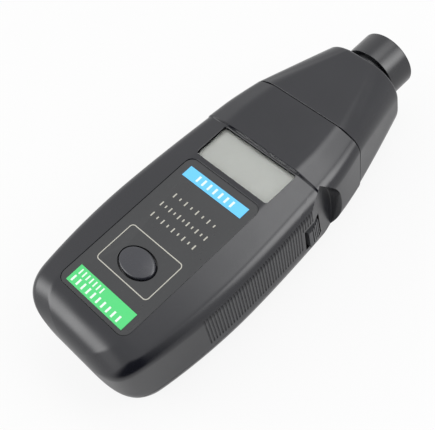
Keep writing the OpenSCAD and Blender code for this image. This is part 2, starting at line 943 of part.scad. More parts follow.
module battery() {
    color(battery_colour) {
        block(battery_width, battery_length, battery_bottom, room_ceiling,
            (battery_rear + battery_front) / 2);
        battery_studs(0, 0);
    }
}

// Terminals of the battery, or the space for them when a gap is given and they start further back
module battery_studs(gap, back) {
    front = battery_front + stud_reach + gap;
    lengthways(round_stud + gap, battery_front - back, front, -stud_offset, stud_height);
    lengthways(flared_stud + gap, battery_front - back, front, stud_offset, stud_height);
}

module battery_snap() {
    color(trim_colour) difference() {
        block(snap_width, snap_thickness, stud_height - snap_half_height, stud_height + snap_half_height,
            battery_front + snap_thickness / 2);
        battery_studs(fit_gap, over);
    }
}

module battery_leads() {
    color(lead_colour) for (x = [-lead_spacing / 2, lead_spacing / 2]) {
        lengthways(lead_radius, battery_front + snap_thickness, lead_rise_at, x, lead_height);
        translate([x, along(lead_rise_at), lead_height]) sphere(lead_radius);
        upright(lead_radius, lead_height, board_bottom, x, lead_rise_at);
    }
}

module case_screws() {
    color(metal_colour) for (p = case_screw_places) difference() {
        union() {
            upright(case_head_radius, case_head_bottom, case_head_top, p.x, p.y);
            upright(case_screw_radius, case_head_top - 0.1, case_screw_tip, p.x, p.y);
        }
        for (turn = [0, 90])
            translate([p.x, along(p.y), case_head_bottom]) rotate(turn) cube(screw_cross, center = true);
    }
}

front_case();
rear_case();
nose_cap();
lens_barrel();
front_lens();
optics_holder();
laser_module();
receiver_lens();
photo_sensor();
sensor_board();
sensor_ribbon();
face_panel();
face_print();
blue_label();
green_label();
display_window();
lcd_glass();
lcd_holder();
contact_strips();
main_board();
controller_chip();
quartz_crystal();
board_screws();
memory_button();
memory_switch();
memory_plunger();
test_button();
switch_board();
test_switch();
test_plunger();
battery();
battery_snap();
battery_leads();
battery_door();
case_screws();
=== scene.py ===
"""Looks of a hand-held laser tachometer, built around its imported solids."""

import logging
import math
from dataclasses import dataclass, field
from enum import Enum
from typing import Callable, Sequence

import bmesh
import bpy
from mathutils import Matrix, Vector


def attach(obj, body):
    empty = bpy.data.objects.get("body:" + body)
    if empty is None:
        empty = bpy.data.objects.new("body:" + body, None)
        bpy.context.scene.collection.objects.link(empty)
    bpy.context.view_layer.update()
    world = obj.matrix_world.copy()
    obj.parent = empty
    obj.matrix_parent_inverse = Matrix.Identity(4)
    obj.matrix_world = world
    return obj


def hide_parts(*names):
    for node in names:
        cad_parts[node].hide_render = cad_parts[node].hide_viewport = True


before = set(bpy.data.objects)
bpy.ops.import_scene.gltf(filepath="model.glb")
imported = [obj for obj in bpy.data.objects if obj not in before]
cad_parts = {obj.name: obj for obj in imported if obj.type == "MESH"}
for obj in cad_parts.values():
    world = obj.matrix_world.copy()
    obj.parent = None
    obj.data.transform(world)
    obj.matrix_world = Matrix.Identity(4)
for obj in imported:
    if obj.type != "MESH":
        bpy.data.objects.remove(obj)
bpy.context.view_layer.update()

LOG = logging.getLogger("tachometer")

Flat = tuple[float, float]
Point = tuple[float, float, float]
Rounded = tuple[float, float, float]
Colour = tuple[float, float, float]
Fade = tuple[str, float, float]
Shape = Callable[[float], list[Flat]]
Body = bpy.types.Object
Tree = bpy.types.NodeTree
Output = bpy.types.NodeSocket

MM = 0.001
REAR_TO_MIDDLE = 80.0
OVERCUT = 1.0
SAME_POINT = 1e-7
CLOSE_POINT = 2e-6
THIN_FACE = 1e-6
SMOOTH_ANGLE = 30.0
ROUNDING_ANGLE = 35.0
ROUNDING_STEPS = 3
WORN_TONE = 0.6
WORN_SHARE = 0.35
COAT_ROUGHNESS = 0.12
GREY = (0.5, 0.5, 0.5, 1.0)
WHITE_LIGHT = (1.0, 1.0, 1.0, 1.0)


class Ride(Enum):
    """Bodies of the part that the new pieces move with."""

    CASE = "case"
    MEMORY = "memory_button"


class Join(Enum):
    """Ways to combine two solids."""

    ADD = "UNION"
    TAKE = "DIFFERENCE"
    KEEP = "INTERSECT"


class Side(Enum):
    """Sides of the case across its width."""

    LEFT = -1
    RIGHT = 1


class Socket(Enum):
    """Kinds of sockets on a shader group."""

    VALUE = "NodeSocketFloat"
    COLOUR = "NodeSocketColor"


class Ramp(Enum):
    """Ways for a value to rise from nothing to the whole."""

    EVEN = "LINEAR"
    SOFT = "SMOOTHSTEP"


def mix(a: float, b: float, t: float) -> float:
    """Return the value between a and b at the fraction t."""
    return a + (b - a) * t


def clamp(value: float, low: float = 0.0, high: float = 1.0) -> float:
    """Return the value held between low and high."""
    return max(low, min(high, value))


def run(a: float, b: float, count: int, power: float = 1.0) -> list[float]:
    """Return values from a towards b, without b itself.

    Args:
        a: First value.
        b: Value that ends the run.
        count: Number of values.
        power: Above one, the values lie closer together near a.

    Returns:
        The values in order.
    """
    return [mix(a, b, (i / count) ** power) for i in range(count)]


def circle(count: int) -> list[Flat]:
    """Return the cosine and sine of angles spaced evenly around a full turn."""
    angles = [2 * math.pi * i / count for i in range(count)]
    return [(math.cos(t), math.sin(t)) for t in angles]


def quarter(steps: int) -> list[Flat]:
    """Return the cosine and sine at each step of a quarter turn, both ends included."""
    angles = [math.radians(90 * i / steps) for i in range(steps + 1)]
    return [(math.cos(t), math.sin(t)) for t in angles]


def linear(red: int, green: int, blue: int) -> Colour:
    """Return a display colour as linear light.

    Args:
        red: Red from 0 to 255.
        green: Green from 0 to 255.
        blue: Blue from 0 to 255.

    Returns:
        The three channels in linear light.
    """

    def channel(value: int) -> float:
        """Return one channel in linear light."""
        v = value / 255.0
        return v / 12.92 if v <= 0.04045 else ((v + 0.055) / 1.055) ** 2.4

    return channel(red), channel(green), channel(blue)


def stretch(a: Flat, b: Flat, count: int) -> list[Flat]:
    """Return count points from a towards b, without b itself."""
    return [(mix(a[0], b[0], i / count), mix(a[1], b[1], i / count)) for i in range(count)]


def rounded_corner(a: Flat, p: Flat, b: Flat, radius: float, steps: int) -> list[Flat]:
    """Return the points of a rounded corner.

    Args:
        a: Point before the corner.
        p: The sharp corner.
        b: Point after the corner.
        radius: Radius of the rounding.
        steps: Number of straight steps along the arc.

    Returns:
        The points of the arc, in order from a to b.
    """
    place = Vector(p)
    to_a = (Vector(a) - place).normalized()
    to_b = (Vector(b) - place).normalized()
    half = math.acos(clamp(to_a.dot(to_b), -1.0, 1.0)) / 2
    centre = place + (to_a + to_b).normalized() * radius / math.sin(half)
    start = place + to_a * radius / math.tan(half) - centre
    finish = place + to_b * radius / math.tan(half) - centre
    first = math.atan2(start.y, start.x)
    turn = math.atan2(start.x * finish.y - start.y * finish.x, start.dot(finish))
    angles = [first + turn * i / steps for i in range(steps + 1)]
    return [(centre.x + radius * math.cos(t), centre.y + radius * math.sin(t)) for t in angles]


def rounded_outline(width: float, length: float, radius: float, steps: int = 8) -> list[Flat]:
    """Return a closed rounded rectangle around the origin.

    Args:
        width: Size across.
        length: Size along.
        radius: Corner radius.
        steps: Number of straight steps in each corner.

    Returns:
        The points of the outline, counter-clockwise.
    """
    x, y = width / 2 - radius, length / 2 - radius
    points = []
    for corner, (cx, cy) in enumerate(((x, y), (-x, y), (-x, -y), (x, -y))):
        for i in range(steps + 1):
            t = math.radians(90 * (corner + i / steps))
            points.append((cx + radius * math.cos(t), cy + radius * math.sin(t)))
    return points


def oval_outline(width: float, length: float, count: int) -> list[Flat]:
    """Return a closed oval around the origin."""
    return [(width / 2 * c, length / 2 * v) for c, v in circle(count)]


def rounded_shape(size: Rounded, steps: int = 8) -> Shape:
    """Return a rounded rectangle of a width, length and corner radius that grows with an offset."""
    width, length, radius = size
    return lambda offset: rounded_outline(width + 2 * offset, length + 2 * offset, radius + offset, steps)


def oval_shape(size: Flat, count: int = 96) -> Shape:
    """Return an oval of a width and length that grows with an offset."""
    width, length = size
    return lambda offset: oval_outline(width + 2 * offset, length + 2 * offset, count)


def flare(bottom: float, rim: float, radius: float, steps: int = 4) -> list[Flat]:
    """Return offsets and heights of a straight wall that opens out at its rim.

    Args:
        bottom: Height where the wall starts.
        rim: Height of the surface that the wall opens into.
        radius: Radius of the rounded rim.
        steps: Number of straight steps in the rounding.

    Returns:
        Pairs of outward offset and height.
    """
    levels = [(0.0, bottom)]
    levels += [(radius * (1 - c), rim - radius + radius * v) for c, v in quarter(steps)]
    levels.append((radius, rim + 2 * OVERCUT))
    return levels


def add_object(name: str, data: bpy.types.ID) -> Body:
    """Return a new object of the scene that holds the data."""
    body = bpy.data.objects.new(name, data)
    bpy.context.scene.collection.objects.link(body)
    return body


def skin(name: str, rings: Sequence[Sequence[Point]], open_ends: bool = False) -> Body:
    """Return a mesh skinned over closed rings of equal point counts.

    Args:
        name: Name of the object.
        rings: Rings of points in millimetres, in order.
        open_ends: True where the first ring joins the last one instead of two caps.

    Returns:
        The new object, in metres.
    """
    count = len(rings[0])
    points = [tuple(c * MM for c in p) for ring in rings for p in ring]
    faces = []
    last = len(rings) if open_ends else len(rings) - 1
    for k in range(last):
        a, b = k * count, (k + 1) % len(rings) * count
        for i in range(count):
            j = (i + 1) % count
            faces.append((a + i, b + i, b + j, a + j))
    if not open_ends:
        faces.append(tuple(range(count)))
        faces.append(tuple(reversed(range((len(rings) - 1) * count, len(rings) * count))))
    mesh = bpy.data.meshes.new(name)
    mesh.from_pydata(points, [], faces)
    made = bmesh.new()
    made.from_mesh(mesh)
    bmesh.ops.remove_doubles(made, verts=made.verts, dist=SAME_POINT)
    bmesh.ops.recalc_face_normals(made, faces=made.faces)
    made.to_mesh(mesh)
    made.free()
    return add_object(name, mesh)


def merged(name: str, pieces: Sequence[Body]) -> Body:
    """Return one object with the meshes of several, which are used up."""
    whole = bmesh.new()
    for piece in pieces:
        spent = piece.data
        whole.from_mesh(spent)
        bpy.data.objects.remove(piece)
        bpy.data.meshes.remove(spent)
    mesh = bpy.data.meshes.new(name)
    whole.to_mesh(mesh)
    whole.free()
    return add_object(name, mesh)


def stack(name: str, outline: Shape, levels: Sequence[Flat], s: float) -> Body:
    """Return an upright solid with one outline per level.

    Args:
        name: Name of the object.
        outline: Gives the outline for an outward offset.
        levels: Pairs of outward offset and height, in order.
        s: Length along the part of the outline's middle.

    Returns:
        The new object.
    """
    y = s - REAR_TO_MIDDLE
    return skin(name, [[(x, y + v, z) for x, v in outline(offset)] for offset, z in levels])


def block(name: str, low: Point, high: Point) -> Body:
    """Return a plain block between two corners, with the length measured from the rear end."""
    (x0, s0, z0), (x1, s1, z1) = low, high
    y0, y1 = s0 - REAR_TO_MIDDLE, s1 - REAR_TO_MIDDLE
    floor = [(x0, y0, z0), (x1, y0, z0), (x1, y1, z0), (x0, y1, z0)]
    return skin(name, [floor, [(x, y, z1) for x, y, _ in floor]])


def post(name: str, radius: float, low: float, high: float, at: Flat, count: int = 32) -> Body:
    """Return an upright cylinder at a place of the case."""
    x, y = at[0], at[1] - REAR_TO_MIDDLE
    ring = [(x + a, y + b) for a, b in oval_outline(2 * radius, 2 * radius, count)]
    return skin(name, [[(a, b, z) for a, b in ring] for z in (low, high)])


def turned(name: str, profile: Sequence[Flat], height: float, count: int, closed: bool = False) -> Body:
    """Return a solid turned about a line along the part.

    Args:
        name: Name of the object.
        profile: Pairs of radius and length from the rear end, in order.
        height: Height of the line above the back.
        count: Number of points around the line.
        closed: True where the profile is a closed loop around a bore.

    Returns:
        The new object.
    """
    rings = []
    for r, s in profile:
        rings.append([(r * c, s - REAR_TO_MIDDLE, height + r * v) for c, v in circle(count)])
    return skin(name, rings, closed)


def combine(base: Body, tool: Body, join: Join) -> Body:
    """Combine a solid with a tool, which is used up.

    Args:
        base: Solid that is changed.
        tool: Solid that is added, taken away or kept in common.
        join: How the two are combined.

    Returns:
        The changed base.
    """
    step = base.modifiers.new("combine", "BOOLEAN")
    step.operation = join.value
    step.solver = "MANIFOLD"
    step.object = tool
    graph = bpy.context.evaluated_depsgraph_get()
    mesh = bpy.data.meshes.new_from_object(base.evaluated_get(graph))
    if not mesh.polygons:
        raise RuntimeError(f"{base.name} vanished when {tool.name} was combined with it")
    old, spent = base.data, tool.data
    base.modifiers.clear()
    base.data = mesh
    bpy.data.objects.remove(tool)
    for used in (old, spent):
        bpy.data.meshes.remove(used)
    return base


def cut(base: Body, *tools: Body) -> Body:
    """Take tools away from a solid, one after another, and return it."""
    for tool in tools:
        combine(base, tool, Join.TAKE)
    return base


def finish_mesh(piece: Body) -> Body:
    """Clean a piece's mesh, shade it smooth between its sharp edges and return it."""
    made = bmesh.new()
    made.from_mesh(piece.data)
    bmesh.ops.remove_doubles(made, verts=made.verts, dist=CLOSE_POINT)
    bmesh.ops.dissolve_degenerate(made, edges=made.edges, dist=THIN_FACE)
    made.to_mesh(piece.data)
    made.free()
    mesh = piece.data
    mesh.name = piece.name
    mesh.polygons.foreach_set("use_smooth", [True] * len(mesh.polygons))
    mesh.set_sharp_from_angle(angle=math.radians(SMOOTH_ANGLE))
    weighting = piece.modifiers.new("even_normals", "WEIGHTED_NORMAL")
    weighting.mode = "FACE_AREA_WITH_ANGLE"
    weighting.keep_sharp = True
    return piece


def soften(node: Body, width: float) -> None:
    """Round the edges of a carried-over solid to a width in millimetres."""
    weld = node.modifiers.new("weld", "WELD")
    weld.merge_threshold = THIN_FACE
    bevel = node.modifiers.new("rounding", "BEVEL")
    bevel.width = width * MM
    bevel.segments = ROUNDING_STEPS
    bevel.limit_method = "ANGLE"
    bevel.angle_limit = math.radians(ROUNDING_ANGLE)
    bevel.harden_normals = True


def fill(tree: Tree, target: bpy.types.Node, inputs: dict[str | int, object]) -> None:
    """Set or link the inputs of a node.

    Args:
        tree: Tree of the node.
        target: The node.
        inputs: A value to set or a socket to link, by each input's name or number.
    """
    for label, given in inputs.items():
        if isinstance(given, bpy.types.NodeSocket):
            tree.links.new(given, target.inputs[label])
        else:
            target.inputs[label].default_value = given


def add_node(tree: Tree, kind: str, inputs: dict[str | int, object], **settings: object) -> bpy.types.Node:
    """Add a shader node.

    Args:
        tree: Node tree to build in.
        kind: Kind of the node, without the prefix that all kinds share.
        inputs: A value to set or a socket to link, by each input's name or number.
        settings: Properties of the node.

    Returns:
        The new node.
    """
    made = tree.nodes.new(f"ShaderNode{kind}")
    for label, setting in settings.items():
        setattr(made, label, setting)
    fill(tree, made, inputs)
    return made


def place_of(tree: Tree, space: str = "Object") -> Output:
    """Return the place on the surface in one of the texture spaces."""
    return add_node(tree, "TexCoord", {}).outputs[space]


def noise(tree: Tree, scale: float | Output, detail: float = 2.0) -> Output:
    """Return noise over the object, with a scale per metre and a detail."""
    inputs = {"Vector": place_of(tree), "Scale": scale, "Detail": detail}
    return add_node(tree, "TexNoise", inputs).outputs["Fac"]


def math_of(tree: Tree, operation: str, *values: float | Output) -> Output:
    """Return the result of a math node with the values as its inputs."""
    return add_node(tree, "Math", dict(enumerate(values)), operation=operation).outputs[0]


def chain(tree: Tree, operation: str, values: Sequence[Output]) -> Output:
    """Return values combined one after another by the same operation."""
    whole, *others = values
    for value in others:
        whole = math_of(tree, operation, whole, value)
    return whole


def ramp(tree: Tree, value: Output, low: float, high: float, kind: Ramp) -> Output:
    """Return the share by which a value has gone from low to high."""
    inputs = {"Value": value, "From Min": low, "From Max": high}
    return add_node(tree, "MapRange", inputs, interpolation_type=kind.value).outputs["Result"]


def blend(tree: Tree, share: Output, a: Output, b: Output) -> Output:
    """Return the colour between a and b at a share."""
    return add_node(tree, "Mix", {"Factor": share, "A": a, "B": b}, data_type="RGBA").outputs["Result"]


def faded(tree: Tree, spot: Output, edges: Sequence[Fade]) -> Output:
    """Multiply soft fades along the axes of a place.

    Args:
        tree: Node tree to build in.
        spot: Socket that gives the place.
        edges: Axis, place of nothing and place of the whole, for each fade.

    Returns:
        Socket with the share from 0 to 1.
    """
    axes = add_node(tree, "SeparateXYZ", {0: spot}).outputs
    return chain(tree, "MULTIPLY", [ramp(tree, axes[axis], a, b, Ramp.SOFT) for axis, a, b in edges])


def seen(tree: Tree, camera: float, mirrored: float) -> Output:
    """Return a mask of camera, glossy and transmission rays.

    Args:
        tree: Node tree to build in.
        camera: Share for camera rays.
        mirrored: Share for glossy and transmission rays.

    Returns:
        Socket with the share.
    """
    rays = add_node(tree, "LightPath", {}).outputs
    levels = {"Camera": camera, "Glossy": mirrored, "Transmission": mirrored}
    shares = [math_of(tree, "MULTIPLY", rays[f"Is {ray} Ray"], level) for ray, level in levels.items()]
    return chain(tree, "MAXIMUM", shares)


def choose(tree: Tree, share: Output, a: bpy.types.Node, b: bpy.types.Node, end: str) -> None:
    """Show one of two shaders by a share.

    Args:
        tree: Node tree to build in.
        share: Socket with the share of the second shader.
        a: First shader.
        b: Second shader.
        end: Name of the tree's output node.
    """
    mixed = add_node(tree, "MixShader", {0: share, 1: a.outputs[0], 2: b.outputs[0]})
    fill(tree, tree.nodes[end], {"Surface": mixed.outputs[0]})


class Effects:
    """Shader groups that several finishes share."""

    def __init__(self) -> None:
        """Start with no group built."""
        self.built: dict[str, Tree] = {}

    def group(self, name: str) -> Tree:
        """Return the named group, built on first use."""
        if name not in self.built:
            self.built[name] = getattr(self, f"_{name}")(name)
        return self.built[name]

    @staticmethod
    def _open(name: str, inputs: dict[str, object], outputs: dict[str, Socket]) -> tuple:
        """Return a new group with its sockets.

        Args:
            name: Name of the group.
            inputs: Default value of each input, where a tuple is a colour.
            outputs: Kind of each output.

        Returns:
            The tree, the sockets that it is given and the sockets that it puts out.
        """
        tree = bpy.data.node_groups.new(name, "ShaderNodeTree")
        for label, value in inputs.items():
            kind = Socket.COLOUR if isinstance(value, tuple) else Socket.VALUE
            socket = tree.interface.new_socket(label, in_out="INPUT", socket_type=kind.value)
            socket.default_value = value
        for label, kind in outputs.items():
            tree.interface.new_socket(label, in_out="OUTPUT", socket_type=kind.value)
        return tree, tree.nodes.new("NodeGroupInput").outputs, tree.nodes.new("NodeGroupOutput").inputs

    def _moulded_grain(self, name: str) -> Tree:
        """Return the fine grain that a mould leaves on plastic."""
        tree, given, out = self._open(
            name,
            {"Scale": 2600.0, "Rough": 0.4, "Broad": 90.0, "Spread": 0.14},
            {"Height": Socket.VALUE, "Roughness": Socket.VALUE},
        )
        broad = noise(tree, given["Broad"], 4.0)
        uneven = math_of(tree, "MULTIPLY_ADD", broad, given["Spread"], given["Rough"])
        tree.links.new(noise(tree, given["Scale"], 3.0), out["Height"])
        tree.links.new(uneven, out["Roughness"])
        return tree

    def _tone_drift(self, name: str) -> Tree:
        """Return a slow change of tone over the surface."""
        tree, given, out = self._open(
            name, {"Colour": GREY, "Scale": 40.0, "Drift": 0.15}, {"Colour": Socket.COLOUR},
        )
        centred = math_of(tree, "SUBTRACT", noise(tree, given["Scale"], 5.0), 0.5)
        level = math_of(tree, "MULTIPLY_ADD", centred, given["Drift"], 1.0)
        tone = add_node(tree, "HueSaturation", {"Value": level, "Color": given["Colour"]})
        tree.links.new(tone.outputs["Color"], out["Colour"])
        return tree

    def _edge_wear(self, name: str) -> Tree:
        """Return a paler colour along outer edges, broken up by noise."""
        tree, given, out = self._open(
            name,
            {"Colour": GREY, "Worn": (0.7, 0.7, 0.7, 1.0), "Amount": 0.3},
            {"Colour": Socket.COLOUR},
        )
        edge = ramp(tree, add_node(tree, "NewGeometry", {}).outputs["Pointiness"], 0.52, 0.62, Ramp.EVEN)
        mask = chain(tree, "MULTIPLY", [edge, noise(tree, 420.0), given["Amount"]])
        tree.links.new(blend(tree, mask, given["Colour"], given["Worn"]), out["Colour"])
        return tree

    def _fine_dust(self, name: str) -> Tree:
        """Return a thin pale film in specks on faces that look up."""
        tree, given, out = self._open(
            name,
            {"Colour": GREY, "Dust": (0.6, 0.6, 0.58, 1.0), "Amount": 0.05},
            {"Colour": Socket.COLOUR},
        )
        normal = add_node(tree, "SeparateXYZ", {0: add_node(tree, "NewGeometry", {}).outputs["Normal"]})
        up = math_of(tree, "MAXIMUM", normal.outputs["Z"], 0.0)
        specks = ramp(tree, noise(tree, 900.0, 6.0), 0.58, 0.75, Ramp.EVEN)
        mask = chain(tree, "MULTIPLY", [up, specks, given["Amount"]])
        tree.links.new(blend(tree, mask, given["Colour"], given["Dust"]), out["Colour"])
        return tree


EFFECTS = Effects()


@dataclass(frozen=True)
class Surface:
    """A named material that is built on first use.

    Attributes:
        name: Name of the material.
    """

    name: str

    def material(self) -> bpy.types.Material:
        """Return the material, built on first use."""
        made = bpy.data.materials.get(self.name)
        if made is None:
            made = bpy.data.materials.new(self.name)
            made.use_nodes = True
            self.wire(made.node_tree, made.node_tree.nodes["Principled BSDF"])
        return made

    def wire(self, tree: Tree, shader: bpy.types.Node) -> None:
        """Build the nodes around the main shader of the material."""
        raise NotImplementedError


@dataclass(frozen=True)
class Finish(Surface):
    """A surface finish with grain, drift of tone, worn edges and dust.

    Attributes:
        colour: Colour in linear light.
        roughness: Lowest roughness.
        grain_scale: Grains per metre.
        grain_depth: Depth of the grain in millimetres.
        drift: How far the tone drifts.
        wear: Strength of the worn edges.
        dust: Strength of the dust.
        metallic: One for a metal.
        specular: Specular level of the shader.
        coat: Weight of a clear coat.
    """

    colour: Colour
    roughness: float = 0.4
    grain_scale: float = 2600.0
    grain_depth: float = 0.02
    drift: float = 0.2
    wear: float = 0.2
    dust: float = 0.012
    metallic: float = 0.0
    specular: float = 0.5
    coat: float = 0.0

    def wire(self, tree: Tree, shader: bpy.types.Node) -> None:
        """Build the nodes around the main shader of the material."""
        worn = tuple(mix(c, WORN_TONE, WORN_SHARE) for c in self.colour)
        drift = self._effect(tree, "tone_drift", Drift=self.drift, Colour=(*self.colour, 1.0))
        wear = self._effect(tree, "edge_wear", Amount=self.wear, Worn=(*worn, 1.0), Colour=drift["Colour"])
        dust = self._effect(tree, "fine_dust", Amount=self.dust, Colour=wear["Colour"])
        grain = self._effect(tree, "moulded_grain", Scale=self.grain_scale, Rough=self.roughness)
        relief = {"Distance": self.grain_depth * MM, "Strength": 1.0, "Height": grain["Height"]}
        fill(tree, shader, {
            "Base Color": dust["Colour"],
            "Metallic": self.metallic,
            "Roughness": grain["Roughness"],
            "Normal": add_node(tree, "Bump", relief).outputs["Normal"],
            "Specular IOR Level": self.specular,
            "Coat Weight": self.coat,
            "Coat Roughness": COAT_ROUGHNESS,
        })

    @staticmethod
    def _effect(tree: Tree, name: str, **inputs: object) -> bpy.types.NodeOutputs:
        """Place a shared effect in a material and return its outputs."""
        return add_node(tree, "Group", inputs, node_tree=EFFECTS.group(name)).outputs


@dataclass(frozen=True)
class ClearFinish(Surface):
    """A clear plate or lens with faint smears.

    Attributes:
        tint: Colour of the clear material in linear light.
        roughness: Lowest roughness.
        ior: Index of refraction.
        smear: How much rougher the smears are.
        smear_scale: Smears per metre.
    """

    tint: Colour
    roughness: float = 0.02
    ior: float = 1.46
    smear: float = 0.05
    smear_scale: float = 140.0

    def wire(self, tree: Tree, shader: bpy.types.Node) -> None:
        """Build the nodes around the main shader of the material."""
        smears = noise(tree, self.smear_scale, 4.0)
        fill(tree, shader, {
            "Base Color": (*self.tint, 1.0),
            "Roughness": math_of(tree, "MULTIPLY_ADD", smears, self.smear, self.roughness),
            "IOR": self.ior,
            "Transmission Weight": 1.0,
        })


@dataclass(frozen=True)
class FloorPaper(Surface):
    """Pale paper that keeps the shadow and turns white far away.

    Attributes:
        tone: Grey of the paper.
        roughness: Roughness of the paper.
        show: Share of white for camera rays.
        mirrored: Share of white for glossy and transmission rays.
        fade: Distances in metres between which the paper turns white.
    """

    tone: float = 0.72
    roughness: float = 0.9
    show: float = 0.88
    mirrored: float = 0.1
    fade: Flat = (0.3, 1.2)

    def wire(self, tree: Tree, shader: bpy.types.Node) -> None:
        """Build the nodes around the main shader of the material."""
        fill(tree, shader, {
            "Base Color": (self.tone, self.tone, self.tone, 1.0),
            "Roughness": self.roughness,
            "Specular IOR Level": 0.0,
        })
        away = add_node(tree, "VectorMath", {0: place_of(tree)}, operation="LENGTH").outputs["Value"]
        far = math_of(tree, "MULTIPLY", seen(tree, 1.0, 1.0), ramp(tree, away, *self.fade, Ramp.SOFT))
        white = math_of(tree, "MAXIMUM", seen(tree, self.show, self.mirrored), far)
        glow = add_node(tree, "Emission", {"Strength": 1.0})
        choose(tree, white, shader, glow, "Material Output")


@dataclass(frozen=True)
class CardAndPaintedShadow(Surface):
    """Dark paper for the card and for the painted floor shadow, fading out at its two ends and its top.

    Attributes:
        tone: Grey of the paper.
        edges: Axis, place of nothing and place of the whole, for each fade.
    """

    tone: float = 0.004
    edges: tuple[Fade, ...] = (("X", 0.0, 0.3), ("X", 1.0, 0.82), ("Y", 1.0, 0.45))

    def wire(self, tree: Tree, shader: bpy.types.Node) -> None:
        """Build the nodes around the main shader of the material."""
        fill(tree, shader, {
            "Base Color": (self.tone, self.tone, self.tone, 1.0),
            "Specular IOR Level": 0.0,
            "Alpha": faded(tree, place_of(tree, "UV"), self.edges),
        })


SHELL = Finish(
    "shell_plastic", linear(18, 19, 26), roughness=0.15, grain_depth=0.003,
    drift=0.18, wear=0.05, specular=0.62, dust=0.006,
)
PANEL = Finish(
    "panel_film", linear(42, 43, 45), roughness=0.22, grain_depth=0.002, drift=0.15, wear=0.08, specular=0.65,
)
BUTTON = Finish(
    "button_rubber", linear(40, 41, 48), roughness=0.2, grain_depth=0.002, wear=0.08, specular=0.75,
)
# Painted shade: a near-black dull material for the recess walls of the display window and the side button's
# slot.
PAINTED_WELL_SHADE = Finish(
    "painted_well_shade", linear(6, 6, 7), roughness=0.7, grain_depth=0.004, wear=0.0, specular=0.2, dust=0.0,
)
BLACK = Finish("black_plastic", linear(28, 28, 31), roughness=0.4, grain_depth=0.008)
BARREL = Finish(
    "barrel_plastic", linear(20, 21, 26), roughness=0.15, grain_depth=0.002, wear=0.08, specular=0.68,
)
PAD = Finish("pad_plastic", linear(70, 71, 74), roughness=0.4, grain_depth=0.008)
PRINT = Finish("cream_print", linear(182, 180, 170), roughness=0.5, grain_depth=0.002, wear=0.0)
WHITE = Finish("white_print", linear(226, 238, 230), roughness=0.5, grain_depth=0.002, drift=0.1, wear=0.0)
BLUE = Finish("blue_label_film", linear(100, 198, 248), roughness=0.4, grain_depth=0.004, drift=0.12)
GREEN = Finish("green_label_film", linear(76, 206, 118), roughness=0.4, grain_depth=0.004, drift=0.12)
DISPLAY = Finish(
    "display_film", linear(208, 209, 203), roughness=0.5, grain_depth=0.0005, drift=0.04, wear=0.0, dust=0.0,
)
BOARD = Finish("board_lacquer", linear(40, 96, 62), roughness=0.35, grain_scale=900.0, drift=0.4)
STEEL = Finish("screw_steel", linear(176, 178, 182), roughness=0.28, metallic=1.0)
BRASS = Finish("module_brass", linear(198, 160, 84), roughness=0.3, metallic=1.0)
PALE = Finish("pale_plastic", linear(208, 202, 186), roughness=0.45)
STRIP = Finish("contact_rubber", linear(206, 138, 138), roughness=0.6)
LEAD = Finish("lead_sleeve", linear(170, 52, 46), roughness=0.4)
CELL = Finish("battery_wrap", linear(112, 118, 126), roughness=0.3, coat=0.3)
CLEAR = ClearFinish("clear_plate", (0.96, 0.97, 0.97))
LENS = ClearFinish("lens_glass", (0.9, 0.93, 0.95), ior=1.52)


def dress(node: str, finish: Surface) -> Body:
    """Give a carried-over solid its finish.

    Args:
        node: Name of the solid.
        finish: The finish.

    Returns:
        The object of the solid.
    """
    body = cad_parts[node]
    body.data.materials.clear()
    body.data.materials.append(finish.material())
    LOG.info("dressed %s in %s", node, finish.name)
    return body


def place(piece: Body, finish: Surface, ride: Ride, slot: str, *nodes: str) -> None:
    """Finish a new piece and tie it to the part.

    Args:
        piece: The piece.
        finish: Its finish.
        ride: The body that it moves with.
        slot: Name of a material slot; not used.
        nodes: Solids that the piece stands for.
    """
    piece.data.materials.clear()
    piece.data.materials.append(finish.material())
    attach(piece, ride.value)
    if nodes:
        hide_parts(*nodes)
    LOG.info("placed %s on %s with %d faces", piece.name, ride.value, len(piece.data.polygons))


@dataclass(frozen=True)
class Density:
    """How closely the case is sampled: along its length, on its flats and in its corners."""

    face: int = 6
    brow: int = 4
    bevel: int = 5
    shoulder: int = 12
    side: int = 9
    heel: int = 14
    back: int = 6
    along: tuple[int, int, int, int] = (30, 58, 14, 18)


FINE = Density()
PLAIN = Density(2, 2, 2, 5, 3, 5, 2, (12, 14, 3, 5))


